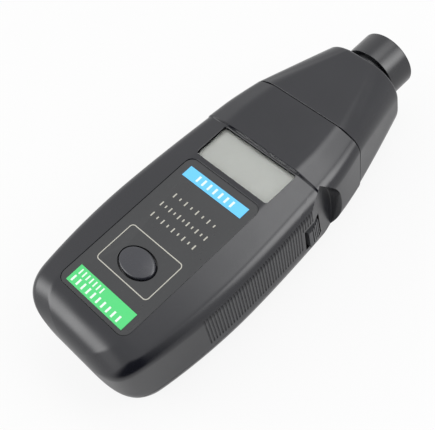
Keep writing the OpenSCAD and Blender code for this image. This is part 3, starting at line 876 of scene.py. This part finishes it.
@dataclass(frozen=True)
class CaseForm:
    """Form of the case and the nose, in millimetres, with lengths from the rear end."""

    length: float = 116.2
    half_width: float = 31.2
    widest_share: float = 0.429
    rear_taper: float = 3.8
    rear_taper_run: float = 40.0
    front_taper: float = 3.4
    front_taper_run: float = 55.0
    front_taper_power: float = 1.6
    seam_taper: float = 0.048
    seam_taper_run: float = 14.5
    seam_taper_power: float = 1.31
    depth: float = 36.0
    wall: float = 2.4
    middle: float = 23.4
    parting: float = 11.0
    face_half: float = 17.0
    face_round: float = 10.0
    shoulder_drop: float = 2.2
    shoulder_round: float = 4.5
    shoulder_growth: float = 1.5
    back_round: float = 12.7
    back_rise_run: float = 24.5
    draft: float = 2.0
    end_round: float = 20.0
    end_power: float = 4.8
    end_drop: float = 13.2
    drop_power: float = 2.05
    full_half: float = 28.0
    head_rise: float = 1.4
    step_at: float = 92.75
    step_run: float = 0.7
    step_ease: float = 0.6
    step_margin: float = 0.4
    rebate_width: float = 0.4
    rebate_depth: float = 0.6
    groove_depth: float = 0.34
    groove_half: float = 0.2
    groove_reach: float = 0.5
    groove_first: float = 0.3
    groove_count: int = 60
    first: float = 0.1
    nose_length: float = 30.0
    nose_half: float = 16.8
    nose_top: float = 36.2
    nose_back: float = 5.5
    nose_drop: float = 2.2
    nose_shoulder: float = 11.2
    nose_shoulder_share: float = 1.1
    nose_heel: float = 14.0
    nose_round: float = 1.4
    nose_back_power: float = 1.45
    least_flat: float = 0.8

    @staticmethod
    def end_factor(s: float, reach: float, power: float) -> float:
        """Return the rounding factor that closes the rear end over a reach."""
        return 1.0 if s >= reach else (1 - ((reach - s) / reach) ** power) ** (1 / power)

    def open_half(self, s: float) -> float:
        """Return the half width before the rear end closes."""
        widest = self.widest_share * self.length
        if s < widest:
            return self.half_width - self.rear_taper * ((widest - s) / self.rear_taper_run) ** 2
        taper = self.front_taper * ((s - widest) / self.front_taper_run) ** self.front_taper_power
        late = max(0.0, s - self.length + self.seam_taper_run) ** self.seam_taper_power
        return self.half_width - taper - self.seam_taper * late

    def half(self, s: float) -> float:
        """Return the half width of the case."""
        return self.open_half(s) * self.end_factor(s, self.end_round, self.end_power)

    def tail(self, s: float) -> float:
        """Return how far the rear end has opened in height."""
        return self.end_factor(s, self.end_drop, self.drop_power)

    def lift(self, s: float) -> float:
        """Return how far the head stands above the display face."""
        u = clamp((s - self.step_at) / self.step_run)
        return self.head_rise * mix(u, u * u * (3 - 2 * u), self.step_ease)

    def back(self, s: float) -> float:
        """Return the height of the back."""
        rise = (max(0.0, s - self.length + self.back_rise_run) / self.back_rise_run) ** 2
        return mix(self.middle, rise, self.tail(s))

    def wall_half(self, s: float, z: float) -> float:
        """Return the half width of the side wall at a height."""
        edge = self.depth - self.shoulder_drop
        return self.half(s) - self.draft * (edge - z) / edge

    def half_section(
        self, w: float, face: float, top: float, drop: float, back: float,
        draft: float, shoulder: float, heel: float, grid: Density,
    ) -> list[Flat]:
        """Return the right half of a section, from the middle of the face to the middle of the back.

        Args:
            w: Half width.
            face: Half width of the flat face.
            top: Height of the face.
            drop: How far the shoulder lies below the face.
            back: Height of the back.
            draft: How far the side leans in at the back.
            shoulder: Radius of the shoulder.
            heel: Radius at the back.
            grid: How closely the section is sampled.

        Returns:
            Pairs of half width and height.
        """
        edge, foot = (w, top - drop), (w - draft, back)
        brow_round = self.face_round * face / self.face_half
        brow = rounded_corner((0, top), (face, top), edge, brow_round, grid.brow)
        upper = rounded_corner((face, top), edge, foot, shoulder, grid.shoulder)
        lower = rounded_corner(edge, foot, (0, back), heel, grid.heel)
        points = stretch((0, top), brow[0], grid.face) + brow[:-1]
        points += stretch(brow[-1], upper[0], grid.bevel) + upper[:-1]
        points += stretch(upper[-1], lower[0], grid.side) + lower[:-1]
        return points + stretch(lower[-1], (0, back), grid.back) + [(0, back)]

    def case_section(self, s: float, inset: float, grid: Density) -> list[Flat]:
        """Return the half section of the case, moved inwards by the inset."""
        at = max(self.first, s - inset)
        close = min(self.tail(at), self.half(at) / self.full_half, 1.0)
        lift = self.lift(s)
        return self.half_section(
            self.half(at) - inset,
            self.face_half * close,
            mix(self.middle, self.depth - inset, self.tail(at)) + lift,
            (self.shoulder_drop + lift) * close,
            self.back(at) + inset * self.tail(at),
            self.draft * close,
            (self.shoulder_round + self.shoulder_growth * s / self.length) * close,
            self.back_round * close,
            grid,
        )

    def nose_section(self, n: float, inset: float, grid: Density) -> list[Flat]:
        """Return the half section of the nose at the length n from the seam."""
        t = clamp(n / self.nose_length)
        u = clamp(n - self.nose_length + self.nose_round, 0.0, self.nose_round)
        inside = inset + self.nose_round - math.sqrt(self.nose_round**2 - u * u)
        w = mix(self.half(self.length), self.nose_half, t) - inside
        top = mix(self.depth + self.head_rise, self.nose_top, t) - inside
        back = mix(self.back(self.length), self.nose_back, t**self.nose_back_power) + inside
        limit = min(w, (top - back) / 2) - self.least_flat
        face = mix(self.face_half, self.nose_half / 3, t)
        room = min(limit, self.nose_shoulder_share * (w - face))
        return self.half_section(
            w,
            face,
            top,
            mix(self.shoulder_drop + self.head_rise, self.nose_drop, t),
            back,
            self.draft * (1 - t),
            min(room, mix(self.shoulder_round + self.shoulder_growth, self.nose_shoulder, t)),
            min(limit, mix(self.back_round, self.nose_heel, t)),
            grid,
        )

    @staticmethod
    def ring(s: float, half: Sequence[Flat]) -> list[Point]:
        """Return a closed ring at a length from its right half."""
        y = s - REAR_TO_MIDDLE
        return [(x, y, z) for x, z in half] + [(-x, y, z) for x, z in reversed(half[1:-1])]

    def stations(self, start: float, end: float, margin: float, grid: Density) -> list[float]:
        """Return the lengths of the case's sections, closer together at the rear end and at the step.

        Args:
            start: First length.
            end: Last length.
            margin: How far the close sections reach past the step.
            grid: How closely the case is sampled.

        Returns:
            The lengths in order.
        """
        before, after = self.step_at - margin, self.step_at + self.step_run + margin
        rear, body, step, head = grid.along
        lengths = run(start, self.end_round, rear, 2.0) + run(self.end_round, before, body)
        return lengths + run(before, after, step) + run(after, end, head) + [end]

    def outside(self, name: str) -> Body:
        """Return the solid outside of the case, with a fine rebate at the seam."""
        rim = self.length - self.rebate_width
        sections = [(s, 0.0) for s in self.stations(self.first, rim, self.step_margin, FINE)]
        sections += [(s, self.rebate_depth) for s in (rim, self.length)]
        return skin(name, [self.ring(s, self.case_section(s, inset, FINE)) for s, inset in sections])

    def hollow(self, name: str) -> Body:
        """Return the solid that hollows the case out."""
        lengths = self.stations(self.wall + self.first, self.length, 0.0, PLAIN)
        rings = [self.ring(s, self.case_section(s, self.wall, PLAIN)) for s in lengths]
        rings.append(self.ring(self.length + OVERCUT, self.case_section(self.length, self.wall, PLAIN)))
        return skin(name, rings)

    def parting_edge(self) -> list[Flat]:
        """Return the line where the two shells meet, around the rear end from right to left."""
        edge: list[Flat] = []
        end = self.length + OVERCUT
        lengths = run(self.groove_first, self.end_round, self.groove_count, 2.0)
        for s in lengths + run(self.end_round, end, self.groove_count) + [end]:
            section = self.case_section(min(s, self.length), 0.0, FINE)
            for (x0, z0), (x1, z1) in zip(section, section[1:]):
                if z0 >= self.parting > z1:
                    edge.append((mix(x0, x1, (z0 - self.parting) / (z0 - z1)), s))
        return edge[::-1] + [(-x, s) for x, s in edge]

    def parting_groove(self, name: str) -> Body:
        """Return the tool that cuts a fine groove along the joint of the two shells."""
        path = self.parting_edge()
        wide = self.groove_half / self.groove_depth * (self.groove_depth + self.groove_reach)
        corners = ((-self.groove_depth, 0.0), (self.groove_reach, -wide), (self.groove_reach, wide))
        rings = []
        for i, (x, s) in enumerate(path):
            ahead, behind = path[min(i + 1, len(path) - 1)], path[max(i - 1, 0)]
            along = Vector((ahead[0] - behind[0], ahead[1] - behind[1])).normalized()
            out = Vector((-along.y, along.x))
            if out.x * x < 0:
                out = -out
            y = s - REAR_TO_MIDDLE
            rings.append([(x + out.x * r, y + out.y * r, self.parting + up) for r, up in corners])
        return skin(name, rings)


FORM = CaseForm()


@dataclass(frozen=True)
class FingerScoop:
    """Round-ended hollow in the right side, with a slanted floor."""

    at: float = 101.1
    radius: float = 29.0
    height: float = 16.0
    depth: float = 4.2
    slant: float = 23.0
    reach: float = 20.0
    fillet: float = 0.15
    fillet_steps: int = 4
    around: int = 256

    def tool(self, name: str, more: float = 0.0, grow: float = 0.0) -> Body:
        """Return the solid of the scoop, cut deeper by more and wider by grow."""
        a = math.radians(self.slant)
        axis, level = Vector((math.cos(a), math.sin(a), 0)), Vector((-math.sin(a), math.cos(a), 0))
        x = FORM.wall_half(self.at, self.height) - self.depth
        floor = Vector((x, self.at - REAR_TO_MIDDLE, self.height))
        centre = floor - level * self.radius - axis * more
        up = Vector((0, 0, 1))
        radius, fillet = self.radius + grow, self.fillet
        levels = [(fillet * (1 - c), radius - fillet * (1 - v)) for c, v in quarter(self.fillet_steps)]
        levels.append((self.reach, radius))
        rings = []
        for out, r in levels:
            middle = centre + axis * out
            rings.append([tuple(middle + (level * c + up * v) * r) for c, v in circle(self.around)])
        return skin(name, rings)


@dataclass(frozen=True)
class GripRibs:
    """Grooves between the fine upright ribs on both sides."""

    first: float = 34.7
    last: float = 80.6
    pitch: float = 1.3
    groove: float = 0.64
    bottom: float = 14.0
    top: float = 31.6
    short_last: float = 97.0
    short_bottom: float = 25.4
    run_out: tuple[Flat, ...] = ((0.0, 0.2), (0.25, 0.75), (0.6, 1.0))
    steps: int = 12
    around: int = 10

    @staticmethod
    def outer_half(section: Sequence[Flat], z: float) -> float:
        """Return the half width of a section at a height on its upper side."""
        for (x0, z0), (x1, z1) in zip(section, section[1:]):
            if z1 <= z < z0:
                return mix(x1, x0, (z - z1) / (z0 - z1))
        return max(x for x, _ in section)

    def groove_rings(self, s: float, bottom: float, side: Side) -> list[list[Point]]:
        """Return the rings of one groove that follows the side over the shoulder's round.

        Args:
            s: Length of the groove from the rear end.
            bottom: Height of its lower end.
            side: Side of the case.

        Returns:
            The rings from the lower end to the upper one.
        """
        section = FORM.case_section(s, 0.0, FINE)
        full, _ = self.run_out[-1]
        levels = [(bottom + out, scale) for out, scale in self.run_out]
        levels += [(z, 1.0) for z in run(bottom + full, self.top - full, self.steps)[1:]]
        levels += [(self.top - out, scale) for out, scale in reversed(self.run_out)]
        y = s - REAR_TO_MIDDLE
        rings = []
        for z, scale in levels:
            x, r = side.value * self.outer_half(section, z), self.groove / 2 * scale
            rings.append([(x + r * c, y + r * v, z) for c, v in circle(self.around)])
        return rings

    def tool(self, name: str, side: Side) -> Body:
        """Return all the grooves of one side as one tool."""
        end = self.short_last if side is Side.RIGHT else self.last
        grooves = []
        for i in range(int((end - self.first) / self.pitch) + 1):
            s = self.first + i * self.pitch
            bottom = self.bottom if s <= self.last else self.short_bottom
            grooves.append(skin(f"{name}_{i}", self.groove_rings(s, bottom, side)))
        return merged(name, grooves)


SCOOP = FingerScoop()
RIBS = GripRibs()


@dataclass
class Shells:
    """The two shells of the case."""

    screws: tuple[Flat, ...] = ((-21.0, 20.7), (21.0, 20.7), (-18.5, 106.7), (18.5, 106.7))
    boss: float = 3.4
    screw: float = 1.35
    screw_tip: float = 22.0
    head: float = 2.7
    head_top: float = 6.4
    head_around: int = 48
    board_screws: tuple[Flat, ...] = ((-17.1, 30.7), (17.1, 30.7), (-17.1, 98.7), (17.1, 98.7))
    board_boss: float = 2.6
    board_top: float = 27.6
    panel: Rounded = (35.2, 63.0, 3.5)
    panel_at: float = 44.2
    panel_floor: float = 35.3
    panel_rim: float = 0.3
    window: Rounded = (34.5, 14.5, 1.2)
    window_at: float = 85.1
    window_rim: float = 0.45
    pocket: Rounded = (38.9, 18.9, 0.6)
    pocket_top: float = 34.9
    button_hole: Flat = (16.2, 11.4)
    button_at: float = 34.0
    slot_low: Point = (22.3, 82.1, 12.2)
    slot_high: Point = (40.0, 91.0, 24.2)
    room_half: float = 13.55
    room_wall: float = 1.6
    room: Flat = (15.2, 71.6)
    room_ceiling: float = 20.2
    door_half: float = 17.3
    door_rail_half: float = 18.5
    door_end: float = 69.9
    door_ceiling: float = 2.45
    rail_floor: float = 0.8
    lead_hole: tuple[float, float, float] = (5.2, 12.2, 16.2)
    lead_run: Flat = (1.6, 3.2)
    far_low: Point = (-60.0, -5.0, -5.0)
    far_high: Point = (60.0, 130.0, 60.0)
    well_margin: float = 0.1
    well_steepness: float = 0.5

    def moulding(self, name: str, bosses: Sequence[Body]) -> Body:
        """Return the hollow case with the scoop's backing and the bosses inside it."""
        shell = cut(FORM.outside(name), FORM.hollow("hollow"))
        inner = FORM.outside("inner_parts")
        parts = SCOOP.tool("backing", FORM.wall, FORM.wall)
        for boss in bosses:
            combine(parts, boss, Join.ADD)
        combine(inner, parts, Join.KEEP)
        return combine(shell, inner, Join.ADD)

    def build_front(self) -> Body:
        """Return the upper shell with its recess, openings, ribs and scoop."""
        top, ceiling = FORM.depth, FORM.depth - FORM.wall
        low = ceiling - OVERCUT
        bosses = [post("boss", self.boss, 0.0, ceiling, at) for at in self.screws]
        bosses += [post("boss", self.board_boss, self.board_top, top, at) for at in self.board_screws]
        shell = self.moulding("front_shell", bosses)
        cut(shell, block("below", self.far_low, (*self.far_high[:2], FORM.parting)))
        cut(shell, *(post("hole", self.screw, -OVERCUT, self.screw_tip, at) for at in self.screws))
        openings = (
            (rounded_shape(self.panel), flare(self.panel_floor, top, self.panel_rim), self.panel_at),
            (rounded_shape(self.window), flare(low, top, self.window_rim), self.window_at),
            (rounded_shape(self.pocket), [(0.0, low), (0.0, self.pocket_top)], self.window_at),
            (oval_shape(self.button_hole), [(0.0, low), (0.0, top)], self.button_at),
        )
        cut(shell, *(stack("opening", *opening) for opening in openings))
        cut(shell, block("slot", self.slot_low, self.slot_high))
        cut(shell, *(RIBS.tool("ribs", side) for side in Side))
        cut(shell, SCOOP.tool("scoop"), FORM.parting_groove("groove"))
        return finish_mesh(shell)

    def paint_well_shade(self, shell: Body) -> None:
        """Paint shade on the walls of the window and of the side button's slot, as a dull black material
        where these recesses fall into shade.
        """
        room = self.well_margin
        width, length, _ = self.window
        (x0, s0, z0), (_, s1, z1) = self.slot_low, self.slot_high
        shell.data.materials.append(PAINTED_WELL_SHADE.material())
        for face in shell.data.polygons:
            x, y, z = face.center / MM
            s = y + REAR_TO_MIDDLE
            window = abs(x) < width / 2 + room and abs(s - self.window_at) < length / 2 + room
            slot = x > x0 and s0 - room < s < s1 + room and z0 - room < z < z1 + room
            window_wall = window and z > FORM.parting and abs(face.normal.z) < self.well_steepness
            slot_wall = slot and abs(face.normal.x) < self.well_steepness
            # These recess walls get the painted shade.
            if window_wall or slot_wall:
                face.material_index = 1

    def build_rear(self) -> Body:
        """Return the lower shell with the battery room and the slot of its door."""
        start, end = self.room
        inside, outside = self.room_half, self.room_half + self.room_wall
        parting, roof = FORM.parting, self.room_ceiling + self.room_wall
        past = parting + OVERCUT
        shell = self.moulding("rear_shell", [post("boss", self.boss, 0.0, past, at) for at in self.screws])
        cut(shell, block("above", (*self.far_low[:2], parting), self.far_high))
        walls_low = (-outside, start - self.room_wall, FORM.wall / 2)
        combine(shell, block("room", walls_low, (outside, end + self.room_wall, roof)), Join.ADD)
        cut(shell, block("space", (-inside, start, -OVERCUT), (inside, end, self.room_ceiling)))
        for half, floor in ((self.door_half, -OVERCUT), (self.door_rail_half, self.rail_floor)):
            cut(shell, block("door", (-half, -OVERCUT, floor), (half, self.door_end, self.door_ceiling)))
        half, low, high = self.lead_hole
        behind, ahead = self.lead_run
        cut(shell, block("leads", (-half, end - behind, low), (half, end + ahead, high)))
        for at in self.screws:
            cut(shell, post("hole", self.screw, -OVERCUT, past, at))
            cut(shell, post("head", self.head, -OVERCUT, self.head_top, at, self.head_around))
        cut(shell, SCOOP.tool("scoop"), FORM.parting_groove("groove"))
        return finish_mesh(shell)

    def dress(self) -> None:
        """Build both shells and set them in place."""
        front = self.build_front()
        place(front, SHELL, Ride.CASE, "shell", "front_case")
        self.paint_well_shade(front)
        place(self.build_rear(), SHELL, Ride.CASE, "shell", "rear_case")
        dress("case_screws", STEEL)


@dataclass
class Nose:
    """The nose cap, the lens barrel and the optics."""

    axis: float = 22.8
    front: float = 146.2
    barrel_rear: float = 136.7
    barrel_end: float = 160.0
    radius: float = 11.4
    flange: float = 0.5
    flange_length: float = 1.5
    fit: float = 0.1
    neck_length: float = 3.0
    neck_depth: float = 1.6
    bore: float = 9.2
    lip: float = 8.3
    lens_front: float = 158.6
    seam: float = 0.06
    mouth: float = 0.2
    proud: float = 0.01
    rim: float = 0.45
    neck_rim: float = 0.25
    rows: int = 24
    inner_rows: int = 10
    front_steps: int = 10
    seat_around: int = 128
    barrel_around: int = 160

    def build_cap(self) -> Body:
        """Return the nose cap with a fine chamfer at the seam."""
        base, front_round = FORM.length, FORM.nose_round
        body = FORM.nose_length - front_round
        lengths = run(self.seam, body, self.rows)
        lengths += [body + front_round * v for _, v in quarter(self.front_steps)]
        rings = [FORM.ring(base, FORM.nose_section(0.0, self.seam, FINE))]
        rings += [FORM.ring(base + n, FORM.nose_section(n, 0.0, FINE)) for n in lengths]
        cap = skin("nose_moulding", rings)
        inner_end = FORM.nose_length - FORM.wall
        rings = [FORM.ring(base - OVERCUT, FORM.nose_section(0.0, FORM.wall, PLAIN))]
        for n in run(0.0, inner_end, self.inner_rows) + [inner_end]:
            rings.append(FORM.ring(base + n, FORM.nose_section(n, FORM.wall, PLAIN)))
        seat, bore = self.radius + self.flange + self.fit, self.radius + self.fit
        flange_front = self.barrel_rear + self.flange_length + self.fit
        profile = [
            (seat, self.barrel_rear - self.fit),
            (seat, flange_front),
            (bore, flange_front),
            (bore, self.front - self.mouth),
            (bore + self.mouth, self.front + self.proud),
            (bore + self.mouth, self.front + 2 * OVERCUT),
        ]
        seat_tool = turned("barrel_seat", profile, self.axis, self.seat_around)
        cut(cap, skin("nose_hollow", rings), seat_tool)
        return finish_mesh(cap)

    def build_barrel(self) -> Body:
        """Return the barrel as one turned tube with rounded rims."""
        edge, rim, lip = self.neck_rim, self.rim, self.mouth
        flange, flange_front = self.radius + self.flange, self.barrel_rear + self.flange_length
        neck, start, end = self.radius - self.neck_depth, self.front + self.neck_length, self.barrel_end
        profile = [
            (flange, self.barrel_rear),
            (flange, flange_front),
            (self.radius, flange_front),
            (self.radius, self.front),
            (neck, self.front),
            (neck, start),
        ]
        profile += [(self.radius - edge + edge * v, start + edge - edge * c) for c, v in quarter(4)]
        profile += [(self.radius - rim + rim * c, end - rim + rim * v) for c, v in quarter(6)]
        profile += [
            (self.lip + lip, end),
            (self.lip, end - lip),
            (self.lip, self.lens_front),
            (self.bore, self.lens_front),
            (self.bore, self.barrel_rear),
        ]
        return finish_mesh(turned("barrel_tube", profile, self.axis, self.barrel_around, closed=True))

    def dress(self) -> None:
        """Build the nose and give the optics their finishes."""
        place(self.build_cap(), SHELL, Ride.CASE, "shell", "nose_cap")
        place(self.build_barrel(), BARREL, Ride.CASE, "trim", "lens_barrel")
        optics = {
            "front_lens": LENS, "receiver_lens": LENS, "optics_holder": BLACK, "laser_module": BRASS,
            "photo_sensor": STEEL, "sensor_board": BOARD, "sensor_ribbon": PALE,
        }
        for node, finish in optics.items():
            dress(node, finish)


@dataclass
class Face:
    """The label panel, its print, the labels, the display and the oval button."""

    panel: Rounded = (35.0, 62.8, 3.4)
    panel_at: float = 44.2
    panel_floor: float = 35.3
    panel_top: float = 35.75
    panel_rim: float = 0.16
    plate: Rounded = (38.5, 18.5, 1.0)
    plate_bevel: float = 0.1
    window_at: float = 85.1
    plate_low: float = 33.74
    plate_high: float = 34.9
    button: Flat = (15.0, 10.2)
    button_gap: float = 0.6
    button_at: float = 34.0
    crown: float = 36.9
    button_rim: float = 0.55
    button_wall: float = 0.6
    crown_rows: int = 8
    crown_parts: float = 8.4
    dome: float = 46.0
    flange: tuple[float, float, float] = (1.8, 31.8, 33.2)
    label_top: float = 35.9
    mark_share: float = 0.32
    mark_half: float = 0.02
    label_rows: tuple[tuple[float, int, float, float, float], ...] = (
        (-12.6, 7, 1.85, 18.3, 2.2), (-12.9, 10, 2.58, 15.1, 2.4), (-8.6, 7, 2.75, 69.05, 2.5),
    )

    def build_panel(self) -> Body:
        """Return the panel film with rounded upper edges and the hole of the button."""
        rim, top = self.panel_rim, self.panel_top
        levels = [(0.0, self.panel_floor)]
        levels += [(-rim * (1 - c), top - rim + rim * v) for c, v in quarter(4)]
        film = stack("panel_film", rounded_shape(self.panel, 12), levels, self.panel_at)
        across, along = (v + 2 * self.button_gap for v in self.button)
        wall = flare(self.panel_floor - OVERCUT, top, rim)
        return finish_mesh(cut(film, stack("hole", oval_shape((across, along), 128), wall, self.button_at)))

    def dome_height(self, u: float, v: float) -> float:
        """Return the height of the button's dome at a distance across and along from its middle."""
        return self.crown - self.dome + math.sqrt(self.dome**2 - u * u - v * v)

    def build_button(self) -> Body:
        """Return the domed oval button with its hidden flange."""
        oval, y, half = oval_shape(self.button), self.button_at - REAR_TO_MIDDLE, self.button[1] / 2
        reach, low, high = self.flange
        rim = self.button_rim
        wall_top = self.dome_height(0.0, half) - rim - self.button_wall
        rings = []
        for offset, z in ((reach, low), (reach, high), (0.0, high), (0.0, wall_top)):
            rings.append([(u, y + v, z) for u, v in oval(offset)])
        crown = [(-rim * (1 - c), rim * (1 - v)) for c, v in quarter(5)]
        crown += [(-rim - (half - rim) * i / self.crown_parts, 0.0) for i in range(1, self.crown_rows + 1)]
        for offset, drop in crown:
            rings.append([(u, y + v, self.dome_height(u, v) - drop) for u, v in oval(offset)])
        return finish_mesh(skin("oval_button", rings))

    def build_window(self) -> Body:
        """Return the clear plate over the display."""
        bevel, low, high = self.plate_bevel, self.plate_low, self.plate_high
        levels = [(-bevel, low), (0.0, low + bevel), (0.0, high - bevel), (-bevel, high)]
        return finish_mesh(stack("window_plate", rounded_shape(self.plate), levels, self.window_at))

    def build_label_marks(self) -> Body:
        """Return the rows of plain bars printed on the two labels."""
        bars = []
        low, high = self.label_top - self.mark_half, self.label_top + self.mark_half
        for first, count, pitch, s, length in self.label_rows:
            for i in range(count):
                x = first + i * pitch
                bars.append(block("bar", (x, s, low), (x + pitch * self.mark_share, s + length, high)))
        return merged("label_marks", bars)

    def dress(self) -> None:
        """Build the face and give the carried-over pieces their finishes."""
        place(self.build_panel(), PANEL, Ride.CASE, "panel", "face_panel")
        place(self.build_button(), BUTTON, Ride.MEMORY, "trim", "memory_button")
        place(self.build_window(), CLEAR, Ride.CASE, "clear", "display_window")
        place(self.build_label_marks(), WHITE, Ride.CASE, "print")
        dress("face_print", PRINT)
        soften(dress("blue_label", BLUE), 0.08)
        soften(dress("green_label", GREEN), 0.08)
        dress("lcd_glass", DISPLAY)
        dress("lcd_holder", BLACK)
        dress("contact_strips", STRIP)


@dataclass
class Works:
    """The side button, the switches, the board, the battery and its door."""

    finishes: dict[str, Finish] = field(default_factory=lambda: {
        "main_board": BOARD, "controller_chip": BLACK, "quartz_crystal": STEEL, "board_screws": STEEL,
        "memory_switch": BLACK, "memory_plunger": PALE, "switch_board": BOARD, "test_switch": BLACK,
        "test_plunger": PALE, "battery": CELL, "battery_snap": BLACK, "battery_leads": LEAD,
    })

    def dress(self) -> None:
        """Give the carried-over pieces their finishes."""
        for node, finish in self.finishes.items():
            dress(node, finish)
        soften(dress("test_button", PAD), 0.1)
        soften(dress("battery_door", SHELL), 0.25)


@dataclass
class Studio:
    """Camera, floor and plain soft light, in metres."""

    place: Point = (0.1559, -0.0981, 0.2844)
    right: Point = (0.6867, 0.7046, -0.1766)
    down: Point = (0.5335, -0.6542, -0.5353)
    focal: float = 900.0
    image_width: float = 435.0
    sensor: float = 36.0
    clip: Flat = (0.01, 20.0)
    ambient: float = 0.72
    floor_half: float = 1.5
    floor_level: float = -5e-5
    card_span: Flat = (-102.0, 2.0)
    card_points: int = 49
    card_rows: tuple[Point, ...] = ((0.6, 0.0, 0.0), (0.6, 1.5, 1.0))
    # Painted shadow: a dark patch on the floor around the rear right corner, seen in reflections only.
    floor_shadow_at: Flat = (0.018, -0.058)
    floor_shadow_rows: tuple[Point, ...] = ((0.05, 1e-4, 1.0), (0.13, 1e-4, 0.45), (0.59, 1e-4, 0.0))
    lamp_aim: Point = (0.0, 0.0, 0.02)
    lamp_edges: tuple[Fade, ...] = (("X", 0.0, 0.38), ("X", 1.0, 0.62), ("Y", 0.0, 0.38), ("Y", 1.0, 0.62))

    @staticmethod
    def stand(body: Body, spot: Point, x: Vector, y: Vector, z: Vector) -> None:
        """Set an object at a spot, turned to three axes."""
        body.matrix_world = Matrix.Translation(spot) @ Matrix((x, y, z)).transposed().to_4x4()

    def camera(self) -> None:
        """Set the camera at the photograph's angle."""
        data = bpy.data.cameras.new("camera")
        data.sensor_fit = "HORIZONTAL"
        data.sensor_width = self.sensor
        data.lens = self.focal / self.image_width * self.sensor
        data.clip_start, data.clip_end = self.clip
        body = add_object("camera", data)
        x, y = Vector(self.right).normalized(), -Vector(self.down).normalized()
        z = x.cross(y).normalized()
        self.stand(body, self.place, x, z.cross(x), z)
        bpy.context.scene.camera = body

    def world(self) -> None:
        """Light the scene evenly and show a white background."""
        world = bpy.data.worlds.new("studio")
        world.use_nodes = True
        bpy.context.scene.world = world
        tree = world.node_tree
        light = tree.nodes["Background"]
        fill(tree, light, {"Color": WHITE_LIGHT, "Strength": self.ambient})
        white = add_node(tree, "Background", {"Color": WHITE_LIGHT, "Strength": 1.0})
        choose(tree, seen(tree, 1.0, 1.0), light, white, "World Output")

    def floor(self) -> None:
        """Lay a pale floor that keeps the shadow."""
        half, z = self.floor_half, self.floor_level
        corners = [(-half, -half, z), (half, -half, z), (half, half, z), (-half, half, z)]
        mesh = bpy.data.meshes.new("floor")
        mesh.from_pydata(corners, [], [(0, 1, 2, 3)])
        mesh.materials.append(FloorPaper("floor_paper").material())
        floor = add_object("floor", mesh)

    def dark_sheet(self, name: str, centre: Flat, rows: Sequence[Point]) -> None:
        """Set up a curved dark sheet with faded edges, seen in reflections only.

        Args:
            name: Name of the sheet.
            centre: Point that it curves around.
            rows: Radius, height and share of the fade for each of its rows.
        """
        count, (x, y), (first, last) = self.card_points, centre, self.card_span
        turns = [math.radians(t) for t in run(first, last, count - 1) + [last]]
        points = [(x + r * math.cos(t), y + r * math.sin(t), z) for r, z, _ in rows for t in turns]
        starts = [k + i for k in range(0, count * (len(rows) - 1), count) for i in range(count - 1)]
        mesh = bpy.data.meshes.new(name)
        mesh.from_pydata(points, [], [(k, k + 1, k + 1 + count, k + count) for k in starts])
        places = mesh.uv_layers.new(name="sheet").data
        for loop in mesh.loops:
            row, turn = divmod(loop.vertex_index, count)
            places[loop.index].uv = (turn / (count - 1), rows[row][2])
        mesh.materials.append(CardAndPaintedShadow("card_and_painted_shadow").material())
        sheet = add_object(name, mesh)
        sheet.visible_camera = False
        sheet.visible_diffuse = False
        sheet.visible_shadow = False

    def lamp(self, name: str, spot: Point, level: Point, size: Flat, watts: float) -> None:
        """Hang one soft lamp that faces the part.

        Args:
            name: Name of the lamp.
            spot: Where it hangs.
            level: Direction of its long side.
            size: Its two sides.
            watts: Power.
        """
        data = bpy.data.lights.new(name, "AREA")
        data.shape = "RECTANGLE"
        data.size, data.size_y = size
        data.energy = watts
        data.use_nodes = True
        tree = data.node_tree
        across = add_node(tree, "NewGeometry", {}).outputs["Parametric"]
        fill(tree, tree.nodes["Emission"], {"Strength": faded(tree, across, self.lamp_edges)})
        back = (Vector(spot) - Vector(self.lamp_aim)).normalized()
        side = (Vector(level) - back * Vector(level).dot(back)).normalized()
        self.stand(add_object(name, data), spot, side, back.cross(side), back)

    def build(self) -> None:
        """Set up the whole studio."""
        self.camera()
        self.world()
        self.floor()
        self.dark_sheet("dark_card", (0.0, 0.0), self.card_rows)
        # Painted shadow on the floor by the rear right corner, seen only in reflections.
        self.dark_sheet("painted_floor_shadow", self.floor_shadow_at, self.floor_shadow_rows)
        self.lamp("lamp_main", (-0.02, 0.38, 0.94), (1.0, 0.1, 0.0), (0.85, 0.6), 4.6)
        self.lamp("lamp_side", (0.62, 0.42, 0.66), (0.35, 0.2, -0.45), (1.1, 0.62), 9.0)
        self.lamp("lamp_left", (-0.6, -0.68, 0.46), (0.75, -0.66, 0.0), (1.0, 0.8), 9.6)
        bpy.context.scene.view_settings.view_transform = "Standard"


def main() -> None:
    """Build and dress every piece in order."""
    logging.basicConfig(level=logging.INFO, format="%(name)s: %(message)s")
    Studio().build()
    Shells().dress()
    Nose().dress()
    Face().dress()
    Works().dress()


if __name__ == "__main__":
    main()
